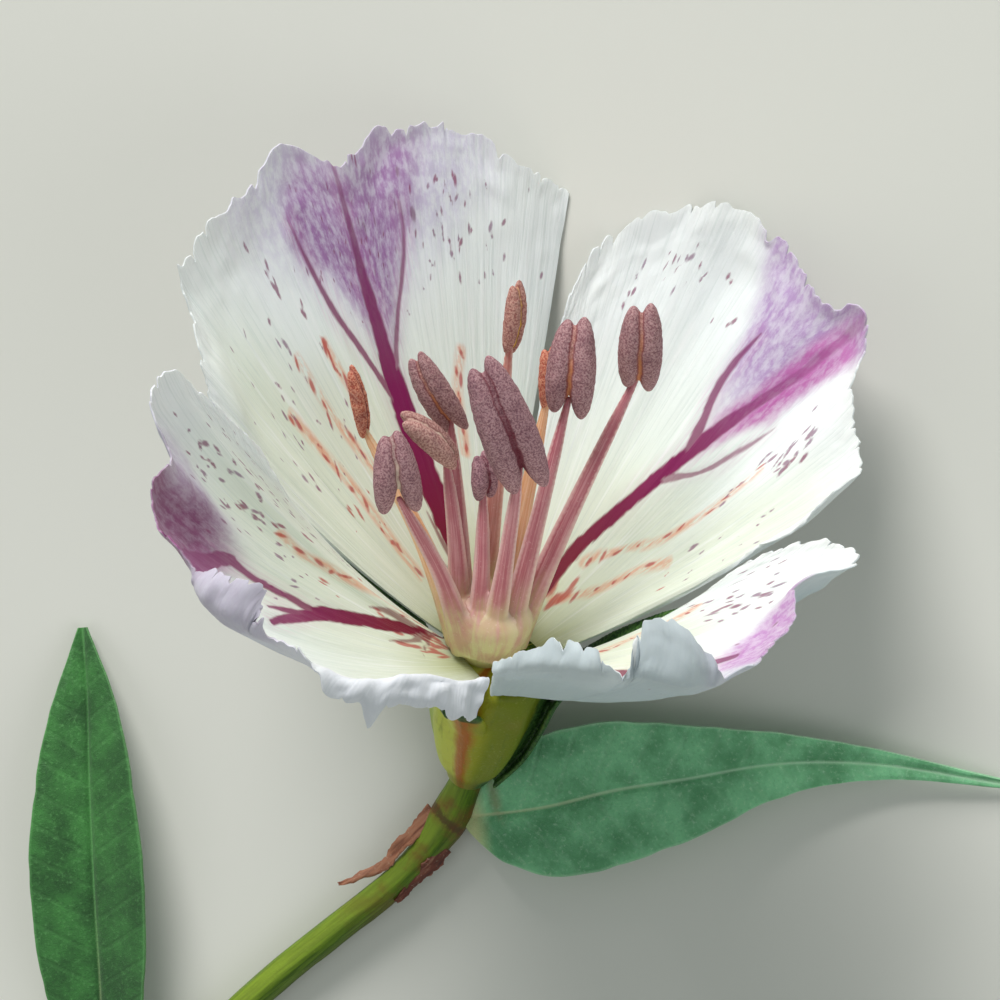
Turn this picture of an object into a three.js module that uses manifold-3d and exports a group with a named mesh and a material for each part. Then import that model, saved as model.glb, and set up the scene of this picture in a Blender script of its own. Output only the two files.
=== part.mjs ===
// A cut flower lying on a table: four fringed petals round a tuft of stamens,
// a calyx with four sepals, a green stem and two lance-shaped leaves.
// The table is z = 0, +Y runs along the stem towards the flower, and the origin
// is the flat spot under the node below the flower.
import * as THREE from 'three';
import { mergeVertices } from 'three/addons/utils/BufferGeometryUtils.js';
import Module from 'manifold-3d';

const wasm = await Module();
wasm.setup();

// Lengths are millimetres and angles are degrees.

// Where the flower sits: the point from which the petals spread, and its axis.
const flowerCentre = new THREE.Vector3(-5, 11.8, 9);
const flowerSwing = 25.7;
const flowerTilt = 56.1;
const flowerRoll = 51.8;

// Petals. Each margin runs from one side to the other. A margin point is
// [azimuth round the axis, opening from the axis, reach from the centre,
// width of the curled hem, how far the hem curls in].
const petalThickness = 0.6;
const clawRing = 3.0;
const clawHalfWidth = 2.5;
const clawRise = 4.6;
const petalColumns = 36;
const petalRows = [0, 0.12, 0.28, 0.46, 0.64, 0.82, 1];
const hemRows = [0.34, 0.67, 1];
const ripplePhase = 31;
const petals = {
  petal_back_left: {
    belly: 7,
    ripple: 0.45,
    tooth: 1.5,
    margin: [
      [137.5, 50.5, 29, 2.5, 5], [130, 49, 38, 2.5, 5], [125, 49, 40, 2.5, 10], [122.5, 48, 43, 2.5, 10],
      [116, 47, 44.7, 2.5, 15], [106, 46, 45.7, 2.5, 15], [100, 46, 47, 2.5, 15], [92.5, 45, 43.8, 2.5, 5],
      [83, 45, 45.8, 2.5, 15], [72, 45, 44.8, 2.5, 10], [66, 46, 43.2, 2.5, 5], [59.5, 47, 41.5, 2.5, 0],
      [54.5, 48.5, 40.6, 2.5, 0],
    ],
  },
  petal_back_right: {
    belly: 7,
    ripple: 0.45,
    tooth: 1.4,
    margin: [
      [53, 47, 28, 2.5, 0], [51, 47, 33.4, 2.5, 5], [46, 47, 38, 2.5, 10], [37, 46.5, 41.6, 2.5, 10],
      [31.5, 46, 43.3, 2.5, 10], [26, 46, 43.7, 2.5, 15], [19.5, 45, 43.3, 2.5, 20], [8, 45, 41.5, 3, 35],
      [1, 45, 43.5, 4, 50], [-5, 45, 40.5, 3, 40], [-10, 44, 39, 2.5, 20], [-19, 44, 37, 2.5, 15],
      [-28.5, 43, 36.3, 2.5, 10], [-31, 43, 30, 2.5, 5],
    ],
  },
  petal_front_left: {
    belly: 12,
    ripple: 0.35,
    tooth: 1.5,
    margin: [
      [141, 46.5, 30.5, 2.5, 5], [146, 44.5, 39, 2.5, 5], [149, 43.5, 43, 2.5, 10], [152, 46, 43.6, 2.5, 20],
      [156, 47.3, 42.6, 2.5, 20], [160, 48.2, 40.3, 2.5, 15], [164, 49.3, 41.7, 2.5, 20],
      [168, 50.2, 41.8, 2.5, 15], [172.5, 50.2, 42.3, 2.5, 12], [177, 50.2, 42.2, 2.5, 10],
      [179.5, 50.6, 41.4, 1.6, 30], [181.5, 50.7, 42.4, 2.2, 90], [184, 50.5, 43.8, 4, 100],
      [187, 50.2, 44.6, 5.1, 105], [190, 49.8, 44.4, 5.4, 108], [192, 49.5, 41.8, 3, 95],
      [194, 49.3, 40.1, 1.6, 60], [199, 48.5, 39.4, 1.6, 55], [205, 47.6, 38.2, 1.6, 60],
      [215, 44.8, 34.6, 1.6, 60], [221, 43, 32, 1.5, 60], [226, 42, 29.5, 1.5, 60], [228, 42, 27.5, 1.5, 60],
    ],
  },
  petal_front_right: {
    belly: 9,
    ripple: 0.35,
    tooth: 1.5,
    margin: [
      [318, 41.5, 27, 2.5, 0], [315, 40.5, 32, 2.5, 5], [309, 40.5, 37.5, 2.5, 5], [303, 41.5, 40, 2.5, 0],
      [298, 40, 36.5, 2.5, 10], [292, 40.8, 37, 2, 10], [286, 41.7, 38.2, 2, 8], [280, 42.5, 39.3, 2, 8],
      [275, 42.6, 41, 2, 8], [270.6, 42.5, 42.3, 2, 8], [268, 42.4, 40.4, 1.5, 30],
      [265.5, 42.1, 41.5, 3, 90], [262.5, 41.9, 42.4, 4.6, 100], [259, 41.4, 41.4, 4.8, 100],
      [257.3, 41, 40.7, 5, 100], [255.3, 40.6, 39.2, 3.8, 95], [253.6, 40.3, 36.2, 1.2, 60],
      [250.8, 39.9, 35.9, 1.2, 60], [248.6, 39.6, 37, 2.4, 90], [244.8, 39.2, 36.6, 2.8, 95],
      [238.5, 39, 34, 2.2, 90], [234.5, 39, 31.4, 1.3, 60], [231.5, 39.5, 29.2, 1.2, 60],
      [229.5, 40, 27, 1.2, 60],
    ],
  },
};

// Stamens. They rise from a cushion, each from its own azimuth on a ring. A filament
// ends in its anther's foot at one [azimuth, lean from the axis, distance from the
// centre], and the anther runs on from there to the other.
const filamentRing = 2.1;
const filamentRise = 6.4;
const filamentKnee = 1.2;
const filamentFoot = 1.05;
const filamentTop = 0.42;
const filamentInAnther = 0.25;
const stamens = [
  { foot: 190, top: [152, 27, 22], tip: [141, 24.5, 28.5], width: 2.9 },
  { foot: 150, top: [113, 19, 22], tip: [126, 25, 27.5], width: 3.0 },
  { foot: 128, top: [98, 23, 23.5], tip: [107, 26.5, 30.5], width: 3.0 },
  { foot: 215, top: [100, 15, 18.5], tip: [98, 16.5, 22.5], width: 2.0 },
  { foot: 246, top: [62, 4.5, 21.5], tip: [110, 13, 32.5], width: 4.5 },
  { foot: 282, top: [40, 15.5, 26], tip: [49, 19, 33.5], width: 3.4 },
  { foot: 322, top: [21, 26.5, 28.5], tip: [29, 23, 35.5], width: 3.4 },
  { foot: 75, top: [74, 21, 29.5], tip: [73, 21, 35.5], width: 1.8 },
  { foot: 165, top: [120, 37, 24.5], tip: [117, 35, 30.5], width: 1.6 },
  { foot: 30, top: [52, 27, 24], tip: [56, 27.5, 29], width: 1.8 },
];
const cushionProfile = [
  [0, 4.3], [2.3, 4.3], [2.5, 5.0], [3.8, 6.3], [4.4, 7.6], [3.5, 9.1], [1.4, 8.8], [0, 8.7],
];

// The two lobes of an anther, as parts of its width, and how they spread.
const lobeAcross = 0.29;
const lobeDeep = 0.33;
const lobeOffset = 0.22;
const lobeSplay = 3;

// Pistil: a short style among the filaments, its four stigma lobes still shut.
const styleTop = [52, 3, 10.6];
const styleRadius = 0.36;
const stigmaRadius = 0.4;

// Calyx: a funnel under the petals that carries four sepals under their seams.
const calyxProfile = [[1.6, -10.4], [2.0, -9.4], [2.9, -7.6], [3.7, -5.2], [4.3, -2.4],
  [4.6, 0.6], [4.7, 3.3]];
const calyxTop = 3.9;
const sepalThickness = 0.8;
const sepalHollow = 0.4;
const sepalOutline = [0.8, 1.0, 1.06, 1.0, 0.78, 0.2];
const sepals = [
  { azimuth: 45, width: 4.4, path: [[3.9, -1.6], [6.4, 3.2], [9.6, 6.3], [14, 10.1], [17.5, 12.8]] },
  { azimuth: 139, width: 4.2, path: [[3.9, -1.6], [6.4, 3.3], [9.4, 6.0], [13.4, 9.1], [16, 10.8]] },
  { azimuth: 215, width: 3.6, path: [[3.9, -1.6], [5.9, 2.2], [8.2, 5.1], [11, 7.5]] },
  {
    azimuth: 318,
    width: 3.6,
    path: [[1.9, -9.2], [3.4, -5.6], [4.6, -2], [5.5, 1.4], [8.0, 4.6], [11.8, 8.8], [17.2, 13.8]],
  },
];

// Stem: it lies along the table, swells at its nodes and ends in a slanting cut.
const stemRadius = 1.25;
const stemPath = [
  [-1.1, 3.7, 2.95], [-0.5, 1.9, 2.1], [0.1, 0, 1.6], [0.7, -3, 1.5], [0.9, -7.5, 1.5],
  [0.4, -13, 1.5], [-0.2, -20, 1.5], [-0.5, -30, 1.5], [-0.6, -40.5, 1.5], [-1.5, -58, 1.5],
  [-2.2, -76, 1.5], [-1.8, -94, 1.5],
];
const stemNodes = [0, -40.5, -77];
const nodeSwell = 0.6;
const nodeLength = 2.4;
const cutSlant = 0.7;

// Dry papery strips that peel off the stem below the upper node.
const stripWidth = 1.4;
const stripThickness = 0.6;
const stripOutline = [1.0, 1.0, 0.85, 0.6, 0.15];
const strips = [
  [[-1.1, -1.6, 1.9], [-0.7, -5.5, 2.0], [-1.1, -9.5, 2.2], [-1.9, -13.5, 2.4]],
  [[1.6, -2.2, 1.2], [2.1, -5.0, 1.2], [2.1, -8.4, 1.3]],
];

// Leaves: the midrib from stem to tip, the half width at even steps along it,
// and how far each half folds up.
const leafThickness = 0.7;
const leaves = {
  leaf_upper: {
    midrib: [[1.9, 1.9, 1.7], [4.9, 6.6, 2.5], [7.9, 12.1, 3.0], [11.2, 17.1, 3.1], [14.4, 22, 2.7],
      [17.2, 25.4, 2.2], [21.4, 29.4, 1.5], [29, 35.2, 0.8]],
    halfWidths: [1.0, 4.7, 6.0, 5.5, 3.9, 2.3, 1.3, 0.8, 0.35],
    fold: 10,
  },
  leaf_lower: {
    midrib: [[-2.9, -38.6, 1.6], [-9, -32.4, 2.6], [-16.1, -25.8, 3.2], [-22.4, -20.1, 2.8],
      [-28.1, -15.1, 1.6], [-32.1, -11.9, 0.8]],
    halfWidths: [0.9, 3.2, 4.6, 5.2, 5.3, 4.8, 4.0, 2.5, 0.4],
    fold: 24,
  },
};

const rad = THREE.MathUtils.degToRad;

function finish(color, roughness) {
  return new THREE.MeshStandardMaterial({ color, roughness, metalness: 0, side: THREE.DoubleSide });
}

// Merged triangles with every face turned outwards.
function closed(positions, triangles) {
  const corner = [new THREE.Vector3(), new THREE.Vector3(), new THREE.Vector3()];
  let volume = 0;
  for (let i = 0; i < triangles.length; i += 3) {
    corner.forEach((point, k) => point.fromArray(positions, 3 * triangles[i + k]));
    volume += corner[0].dot(corner[1].cross(corner[2]));
  }
  const indices = volume < 0 ? triangles.toReversed() : triangles;
  const geometry = new THREE.BufferGeometry();
  geometry.setAttribute('position', new THREE.Float32BufferAttribute(positions, 3));
  geometry.setIndex(indices);
  return geometry;
}

// Positions and triangles alone, with the seams of a primitive welded.
function bare(geometry) {
  const copy = geometry.clone();
  copy.deleteAttribute('normal');
  copy.deleteAttribute('uv');
  return mergeVertices(copy, 1e-5);
}

function solidOf(geometry) {
  const merged = bare(geometry);
  const mesh = new wasm.Mesh({
    numProp: 3,
    vertProperties: new Float32Array(merged.attributes.position.array),
    triVerts: new Uint32Array(merged.index.array),
  });
  return new wasm.Manifold(mesh);
}

// One body from several that touch or cross.
function joined(geometries) {
  return geometryOf(geometries.map(solidOf).reduce((sum, next) => sum.add(next)));
}

function geometryOf(solid) {
  const mesh = solid.getMesh();
  const geometry = new THREE.BufferGeometry();
  geometry.setAttribute('position', new THREE.BufferAttribute(new Float32Array(mesh.vertProperties), 3));
  geometry.setIndex(new THREE.BufferAttribute(new Uint32Array(mesh.triVerts), 1));
  return geometry;
}

// A blade of even thickness over a grid of points, both faces split alike.
function blade(columns, rows, pointAt, thickness) {
  const grid = [];
  for (let j = 0; j <= rows; j++) {
    for (let i = 0; i <= columns; i++) grid.push(pointAt(i, j));
  }
  const index = (i, j) => j * (columns + 1) + i;
  const clampTo = (value, top) => Math.min(Math.max(value, 0), top);
  const positions = [];
  for (const side of [0.5, -0.5]) {
    for (let j = 0; j <= rows; j++) {
      for (let i = 0; i <= columns; i++) {
        const across = grid[index(clampTo(i + 1, columns), j)].clone();
        across.sub(grid[index(clampTo(i - 1, columns), j)]);
        const along = grid[index(i, clampTo(j + 1, rows))].clone();
        along.sub(grid[index(i, clampTo(j - 1, rows))]);
        const normal = across.cross(along).normalize();
        positions.push(...grid[index(i, j)].clone().addScaledVector(normal, side * thickness));
      }
    }
  }
  const back = grid.length;
  const triangles = [];
  for (let j = 0; j < rows; j++) {
    for (let i = 0; i < columns; i++) {
      const [a, b, c, d] = [index(i, j), index(i + 1, j), index(i + 1, j + 1), index(i, j + 1)];
      triangles.push(a, b, c, a, c, d);
      triangles.push(back + a, back + c, back + b, back + a, back + d, back + c);
    }
  }
  const rim = [];
  for (let i = 0; i < columns; i++) rim.push(index(i, 0));
  for (let j = 0; j < rows; j++) rim.push(index(columns, j));
  for (let i = columns; i > 0; i--) rim.push(index(i, rows));
  for (let j = rows; j > 0; j--) rim.push(index(0, j));
  rim.forEach((a, k) => {
    const b = rim[(k + 1) % rim.length];
    triangles.push(a, back + a, b, b, back + a, back + b);
  });
  return closed(positions, triangles);
}

// A closed round rod bent along a curve, its radius given along the way.
function rod(curve, radiusAt, sides, steps, slant = 0) {
  const geometry = bare(new THREE.CylinderGeometry(1, 1, 1, sides, steps));
  const frames = curve.computeFrenetFrames(steps, false);
  const position = geometry.attributes.position;
  const point = new THREE.Vector3();
  for (let i = 0; i < position.count; i++) {
    const along = position.getY(i) + 0.5;
    const step = Math.round(along * steps);
    const radius = radiusAt(along);
    const across = position.getX(i);
    curve.getPointAt(along, point);
    point.addScaledVector(frames.normals[step], across * radius);
    point.addScaledVector(frames.binormals[step], position.getZ(i) * radius);
    if (step === steps) point.addScaledVector(frames.tangents[step], slant * across * radius);
    position.setXYZ(i, point.x, point.y, point.z);
  }
  return closed(Array.from(position.array), Array.from(geometry.index.array));
}

// A round body about +Z from [radius, height] pairs.
function turned(profile, sides) {
  const points = profile.map(([radius, height]) => new THREE.Vector2(radius, height));
  return new THREE.LatheGeometry(points, sides).rotateX(Math.PI / 2);
}

// Directions in the flower's own frame, whose axis is +Z.
function towards(azimuth, lean, distance = 1) {
  const [turn, fall] = [rad(azimuth), rad(lean)];
  const reach = Math.sin(fall) * distance;
  return new THREE.Vector3(Math.cos(turn) * reach, Math.sin(turn) * reach, Math.cos(fall) * distance);
}

function smoothCurve(points) {
  return new THREE.CatmullRomCurve3(points.map((point) => new THREE.Vector3(...point)));
}

// A smooth value along an outline given at even steps.
function outlineAt(values) {
  const curve = smoothCurve(values.map((value, k) => [k, value, 0]));
  return (part) => curve.getPoint(part).y;
}

// A petal: rays run from its claw over the belly of the bowl to the margin,
// where the hem bends in along an arc.
function petal({ belly, ripple, tooth, margin }, seed) {
  const rim = new THREE.CatmullRomCurve3(margin.map((point) => towards(...point.slice(0, 3))));
  const fan = smoothCurve(margin.map((point) => point.slice(0, 3)));
  const hem = smoothCurve(margin.map(([, , , width, curl]) => [width, curl, 0]));
  const [first, last] = [margin[0][0], margin.at(-1)[0]];
  const middle = (first + last) / 2;
  const clawSide = towards(middle + 90, 90, clawHalfWidth * Math.sign(last - first));
  THREE.MathUtils.seededRandom(seed);
  const teeth = Array.from({ length: petalColumns + 1 }, () => THREE.MathUtils.seededRandom() - 0.5);
  const rows = [...petalRows.map((part) => [part, 0]), ...hemRows.map((part) => [1, part])];

  function pointAt(column, row) {
    const v = column / petalColumns;
    const t = rim.getUtoTmapping(v);
    const { x: azimuth, y: opening, z: reach } = fan.getPoint(t);
    const { x: width, y: curl } = hem.getPoint(t);
    const fromSides = Math.sin(Math.PI * v);
    const claw = towards(middle, 90, clawRing).setZ(clawRise).addScaledVector(clawSide, 2 * v - 1);
    const onBowl = (part) => towards(azimuth, opening + belly * (1 - part), (reach - width) * part)
      .addScaledVector(claw, 1 - part);
    const [part, hemPart] = rows[row];
    const outward = onBowl(part + 0.01).sub(onBowl(part - 0.01)).normalize();
    const inward = outward.clone().cross(towards(azimuth + 90, 90)).normalize();
    const wave = ripple * part ** 3 * Math.sin(ripplePhase * v + seed) * fromSides;
    const point = onBowl(part).addScaledVector(inward, wave);
    if (hemPart === 0) return point;
    const frill = row === rows.length - 1 ? tooth * teeth[column] * Math.min(1, 3 * fromSides) : 0;
    const length = hemPart * width + frill;
    const bend = Math.max(rad(curl), 0.01) / width;
    point.addScaledVector(outward, Math.sin(bend * length) / bend);
    return point.addScaledVector(inward, (1 - Math.cos(bend * length)) / bend);
  }
  return blade(petalColumns, rows.length - 1, pointAt, petalThickness);
}

function filament({ foot: azimuth, top, tip }) {
  const foot = towards(azimuth, 90, filamentRing).setZ(filamentRise);
  const end = towards(...top).lerp(towards(...tip), filamentInAnther);
  const knee = foot.clone().lerp(end, 0.4);
  knee.z += filamentKnee;
  const taper = (along) => THREE.MathUtils.lerp(filamentFoot, filamentTop, along ** 0.7);
  return rod(new THREE.CatmullRomCurve3([foot, knee, end]), taper, 6, 5);
}

// An anther: two long lobes side by side, joined along their middle.
function anther({ top, tip, width }) {
  const [from, to] = [towards(...top), towards(...tip)];
  const up = to.clone().sub(from);
  const half = up.length() / 2;
  const lobes = [-1, 1].map((side) => {
    const lobe = new THREE.SphereGeometry(1, 7, 6);
    lobe.scale(lobeAcross * width, half, lobeDeep * width);
    lobe.rotateZ(side * rad(lobeSplay));
    return lobe.translate(side * lobeOffset * width, 0, 0);
  });
  up.normalize();
  const across = up.clone().cross(from).normalize();
  const place = new THREE.Matrix4().makeBasis(across, up, across.clone().cross(up));
  place.setPosition(from.lerp(to, 0.5));
  return joined(lobes).applyMatrix4(place);
}

function stamenTuft() {
  return joined([turned(cushionProfile, 14), ...stamens.map(filament), ...stamens.map(anther)]);
}

function pistil() {
  const foot = new THREE.Vector3(0, 0, cushionProfile.at(-1)[1] + 0.3);
  const head = towards(...styleTop);
  const style = rod(new THREE.LineCurve3(foot, head), () => styleRadius, 7, 3);
  const lobes = [0, 90, 180, 270].map((turn) => {
    const lobe = new THREE.SphereGeometry(1, 6, 5);
    lobe.rotateX(Math.PI / 2);
    lobe.scale(stigmaRadius, stigmaRadius, 1.8 * stigmaRadius);
    return lobe.translate(...towards(turn, 90, 0.5 * stigmaRadius).add(head));
  });
  return joined([style, ...lobes]);
}

function sepal({ azimuth, width, path }) {
  const [columns, rows] = [4, 9];
  const side = towards(azimuth + 90, 90);
  const midline = smoothCurve(path.map(([out, up]) => towards(azimuth, 90, out).setZ(up).toArray()));
  const outline = outlineAt(sepalOutline);
  const pointAt = (column, row) => {
    const part = row / rows;
    const v = 2 * column / columns - 1;
    const inward = midline.getTangentAt(part).cross(side);
    const point = midline.getPointAt(part).addScaledVector(side, v * outline(part) * width / 2);
    return point.addScaledVector(inward, sepalHollow * v * v);
  };
  return blade(columns, rows, pointAt, sepalThickness);
}

function calyx() {
  const outline = [[0, calyxProfile[0][1]], ...calyxProfile, [4.4, calyxTop], [0, calyxTop]];
  return joined([turned(outline, 16), ...sepals.map(sepal)]);
}

// The stem, flattened where its nodes touch the table.
function stem() {
  const curve = smoothCurve(stemPath);
  const radiusAt = (along) => {
    const y = curve.getPointAt(along).y;
    const swell = stemNodes.reduce((sum, node) => sum + Math.exp(-(((y - node) / nodeLength) ** 2)), 0);
    return stemRadius + nodeSwell * swell;
  };
  const body = joined([rod(curve, radiusAt, 10, 52, cutSlant), ...strips.map(strip)]);
  return geometryOf(solidOf(body).trimByPlane([0, 0, 1], 0));
}

function strip(path) {
  const rows = 8;
  const midline = smoothCurve(path);
  const outline = outlineAt(stripOutline);
  const pointAt = (column, row) => {
    const point = midline.getPointAt(row / rows);
    point.z += (column - 1) * outline(row / rows) * stripWidth / 2;
    return point;
  };
  return blade(2, rows, pointAt, stripThickness);
}

function leaf({ midrib, halfWidths, fold }) {
  const [columns, rows] = [6, 18];
  const rib = smoothCurve(midrib);
  const outline = outlineAt(halfWidths);
  const pointAt = (column, row) => {
    const part = row / rows;
    const v = 2 * column / columns - 1;
    const along = rib.getTangentAt(part);
    const across = new THREE.Vector3(-along.y, along.x, 0).normalize();
    const up = along.clone().cross(across);
    const point = rib.getPointAt(part).addScaledVector(across, v * outline(part) * Math.cos(rad(fold)));
    return point.addScaledVector(up, Math.abs(v) * outline(part) * Math.sin(rad(fold)));
  };
  return blade(columns, rows, pointAt, leafThickness);
}

const flower = new THREE.Group();
flower.position.copy(flowerCentre);
flower.rotation.set(-rad(flowerTilt), 0, rad(flowerSwing), 'ZXY');
const whorl = new THREE.Group();
whorl.rotation.z = rad(flowerRoll);
flower.add(whorl);

function add(group, name, geometry, material) {
  const mesh = new THREE.Mesh(geometry, material);
  mesh.name = name;
  group.add(mesh);
}

Object.entries(petals).forEach(([name, shape], k) =>
  add(whorl, name, petal(shape, k + 3), finish(0xf4f1ea, 0.55)));
add(whorl, 'stamens', stamenTuft(), finish(0xb97f8b, 0.6));
add(whorl, 'pistil', pistil(), finish(0xf0e6c4, 0.55));
add(whorl, 'calyx', calyx(), finish(0xb9bf55, 0.5));

const cutFlower = new THREE.Group();
cutFlower.add(flower);
add(cutFlower, 'stem', stem(), finish(0x7f9a3e, 0.5));
Object.entries(leaves).forEach(([name, shape]) => add(cutFlower, name, leaf(shape), finish(0x4a8a58, 0.55)));

export default cutFlower;
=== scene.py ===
import math

import bpy
import numpy as np
from mathutils import Matrix, Vector


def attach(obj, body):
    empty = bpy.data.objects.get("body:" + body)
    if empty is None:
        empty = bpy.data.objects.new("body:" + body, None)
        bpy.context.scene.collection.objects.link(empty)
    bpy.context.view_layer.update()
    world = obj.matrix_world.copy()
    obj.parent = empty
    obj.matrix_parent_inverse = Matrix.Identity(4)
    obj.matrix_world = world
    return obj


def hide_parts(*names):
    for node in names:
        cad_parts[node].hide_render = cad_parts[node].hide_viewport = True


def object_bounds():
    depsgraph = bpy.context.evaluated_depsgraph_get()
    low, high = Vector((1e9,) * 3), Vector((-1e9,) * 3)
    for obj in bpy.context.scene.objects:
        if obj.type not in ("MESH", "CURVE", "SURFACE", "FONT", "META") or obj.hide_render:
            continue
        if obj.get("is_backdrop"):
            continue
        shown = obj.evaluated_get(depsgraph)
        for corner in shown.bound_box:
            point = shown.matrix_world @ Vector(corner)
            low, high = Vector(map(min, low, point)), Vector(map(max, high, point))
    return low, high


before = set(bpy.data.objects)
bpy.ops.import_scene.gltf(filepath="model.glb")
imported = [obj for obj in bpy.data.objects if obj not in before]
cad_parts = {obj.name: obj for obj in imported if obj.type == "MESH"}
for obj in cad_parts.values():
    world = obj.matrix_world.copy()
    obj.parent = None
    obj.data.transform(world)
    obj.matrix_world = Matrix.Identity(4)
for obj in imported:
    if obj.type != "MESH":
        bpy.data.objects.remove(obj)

mm = 0.001
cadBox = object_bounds()

# The flower's own frame: its axis is +Z and the petals spread from its origin.
flower = {"centre": (-5, 11.8, 9), "swing": 25.7, "tilt": 56.1, "roll": 51.8}
flowerPlace = (
    Matrix.Translation(flower["centre"])
    @ Matrix.Rotation(math.radians(flower["swing"]), 4, "Z")
    @ Matrix.Rotation(math.radians(-flower["tilt"]), 4, "X")
    @ Matrix.Rotation(math.radians(flower["roll"]), 4, "Z")
)

# The camera stands where the photo was taken from.
camera = {
    "right": (0.6903, 0.6947, -0.2019), "up": (-0.7224, 0.6773, -0.1394), "back": (0.0399, 0.2421, 0.9694),
    "aside": 0.96, "above": 15.2, "distance": 450, "lens": 202.5,
}
cameraRight, cameraUp, cameraBack = (Vector(camera[way]).normalized() for way in ("right", "up", "back"))


# Small tools for meshes

def selectOnly(piece):
    bpy.ops.object.select_all(action="DESELECT")
    piece.select_set(True)
    bpy.context.view_layer.objects.active = piece


def made(name):
    piece = bpy.context.object
    piece.name = piece.data.name = name
    return piece


def readPoints(piece):
    points = np.empty(len(piece.data.vertices) * 3)
    piece.data.vertices.foreach_get("co", points)
    return points.reshape(-1, 3)


def writePoints(piece, points):
    piece.data.vertices.foreach_set("co", np.asarray(points, float).ravel())
    piece.data.update()


def placed(points, place):
    turn = np.array(place.to_3x3())
    return points @ turn.T + np.array(place.to_translation())


# Keeps a number or three numbers at every vertex, for the materials.
def keep(piece, name, values):
    values = np.asarray(values, float)
    kind = "FLOAT" if values.ndim == 1 else "FLOAT_VECTOR"
    layer = piece.data.attributes.new(name, kind, "POINT")
    layer.data.foreach_set("value" if kind == "FLOAT" else "vector", values.ravel())


def keepUV(piece, uv):
    loops = np.empty(len(piece.data.loops), int)
    piece.data.loops.foreach_get("vertex_index", loops)
    piece.data.uv_layers[0].data.foreach_set("uv", uv[loops].ravel())


def finishWith(piece, kind, **settings):
    selectOnly(piece)
    modifier = piece.modifiers.new(kind.title(), kind)
    for key, value in settings.items():
        setattr(modifier, key, value)
    bpy.ops.object.modifier_apply(modifier=modifier.name)


def smoothShaded(piece, angle=60):
    selectOnly(piece)
    bpy.ops.object.shade_smooth_by_angle(angle=math.radians(angle))


def joinAll(pieces, name):
    selectOnly(pieces[0])
    for piece in pieces[1:]:
        piece.select_set(True)
    bpy.ops.object.join()
    return made(name)


# A piece in place: its material, a slot argument that is not used, and the nodes it stands for.
def settle(piece, material, slot, *nodes):
    piece.data.materials.clear()
    piece.data.materials.append(material)
    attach(piece, "root")
    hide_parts(*nodes)


# Smooth values from 0 to 1 over a plane, the same on every run.
def softNoise(x, y, seed):
    lattice = np.random.default_rng(seed).random((97, 89))
    x, y = np.asarray(x, float), np.asarray(y, float)
    column, row = np.floor(x).astype(int), np.floor(y).astype(int)
    fx, fy = x - column, y - row
    fx, fy = fx * fx * (3 - 2 * fx), fy * fy * (3 - 2 * fy)
    corner = lambda i, j: lattice[(column + i) % 97, (row + j) % 89]
    low = corner(0, 0) * (1 - fx) + corner(1, 0) * fx
    high = corner(0, 1) * (1 - fx) + corner(1, 1) * fx
    return low * (1 - fy) + high * fy


def ease(values, low, high):
    share = np.clip((np.asarray(values, float) - low) / (high - low), 0, 1)
    return share * share * (3 - 2 * share)


def directed(azimuth, lean, distance):
    turn, fall = np.radians(azimuth), np.radians(lean)
    ring = np.sin(fall) * distance
    return np.stack([np.cos(turn) * ring, np.sin(turn) * ring, np.cos(fall) * distance], -1)


def unit(vectors):
    return vectors / np.linalg.norm(vectors, axis=-1, keepdims=True)


# A smooth curve through points, followed by its parameter or evenly by its length.
class Path:
    def __init__(self, points):
        self.points = np.array(points, float)
        self.steps = np.linspace(0, 1, 401)
        spans = np.linalg.norm(np.diff(self.at(self.steps), axis=0), axis=1)
        self.lengths = np.concatenate([[0], np.cumsum(spans)])

    def at(self, step):
        p, last = self.points, len(self.points) - 1
        place = np.atleast_1d(step) * last
        i = np.clip(np.floor(place).astype(int), 0, last - 1)
        w = (place - i)[:, None]
        p1, p2 = p[i], p[i + 1]
        p0 = np.where((i > 0)[:, None], p[np.maximum(i - 1, 0)], 2 * p[0] - p[1])
        p3 = np.where((i + 2 <= last)[:, None], p[np.minimum(i + 2, last)], 2 * p[-1] - p[-2])
        d0, d1, d2 = (np.sqrt(np.linalg.norm(b - a, axis=1))[:, None] for a, b in ((p0, p1), (p1, p2), (p2, p3)))
        d1 = np.where(d1 < 0.01, 1, d1)
        d0, d2 = np.where(d0 < 0.01, d1, d0), np.where(d2 < 0.01, d1, d2)
        t1 = ((p1 - p0) / d0 - (p2 - p0) / (d0 + d1) + (p2 - p1) / d1) * d1
        t2 = ((p2 - p1) / d1 - (p3 - p1) / (d1 + d2) + (p3 - p2) / d2) * d1
        return p1 + t1 * w + (3 * (p2 - p1) - 2 * t1 - t2) * w**2 + (2 * (p1 - p2) + t1 + t2) * w**3

    def stepAt(self, share):
        return np.interp(np.atleast_1d(share) * self.lengths[-1], self.lengths, self.steps)

    def along(self, share):
        return self.at(self.stepAt(share))

    def tangent(self, share):
        share = np.atleast_1d(share)
        return unit(self.along(np.minimum(share + 0.004, 1)) - self.along(np.maximum(share - 0.004, 0)))


# Small tools for materials

# A socket that takes part in sums: each operator adds a Math node.
class Wire:
    def __init__(self, tree, socket):
        self.tree, self.socket = tree, socket

    def node(self, kind, settings=(), inputs=(), output=0):
        return addNode(self.tree, kind, settings, inputs, output)

    def math(self, operation, *values):
        return self.node("ShaderNodeMath", {"operation": operation}, dict(enumerate(values)))

    def __add__(self, other):
        return self.math("ADD", self, other)

    def __sub__(self, other):
        return self.math("SUBTRACT", self, other)

    def __rsub__(self, other):
        return self.math("SUBTRACT", other, self)

    def __mul__(self, other):
        return self.math("MULTIPLY", self, other)

    def __truediv__(self, other):
        return self.math("DIVIDE", self, other)

    def __abs__(self):
        return self.math("ABSOLUTE", self)

    __radd__ = __add__
    __rmul__ = __mul__


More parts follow.
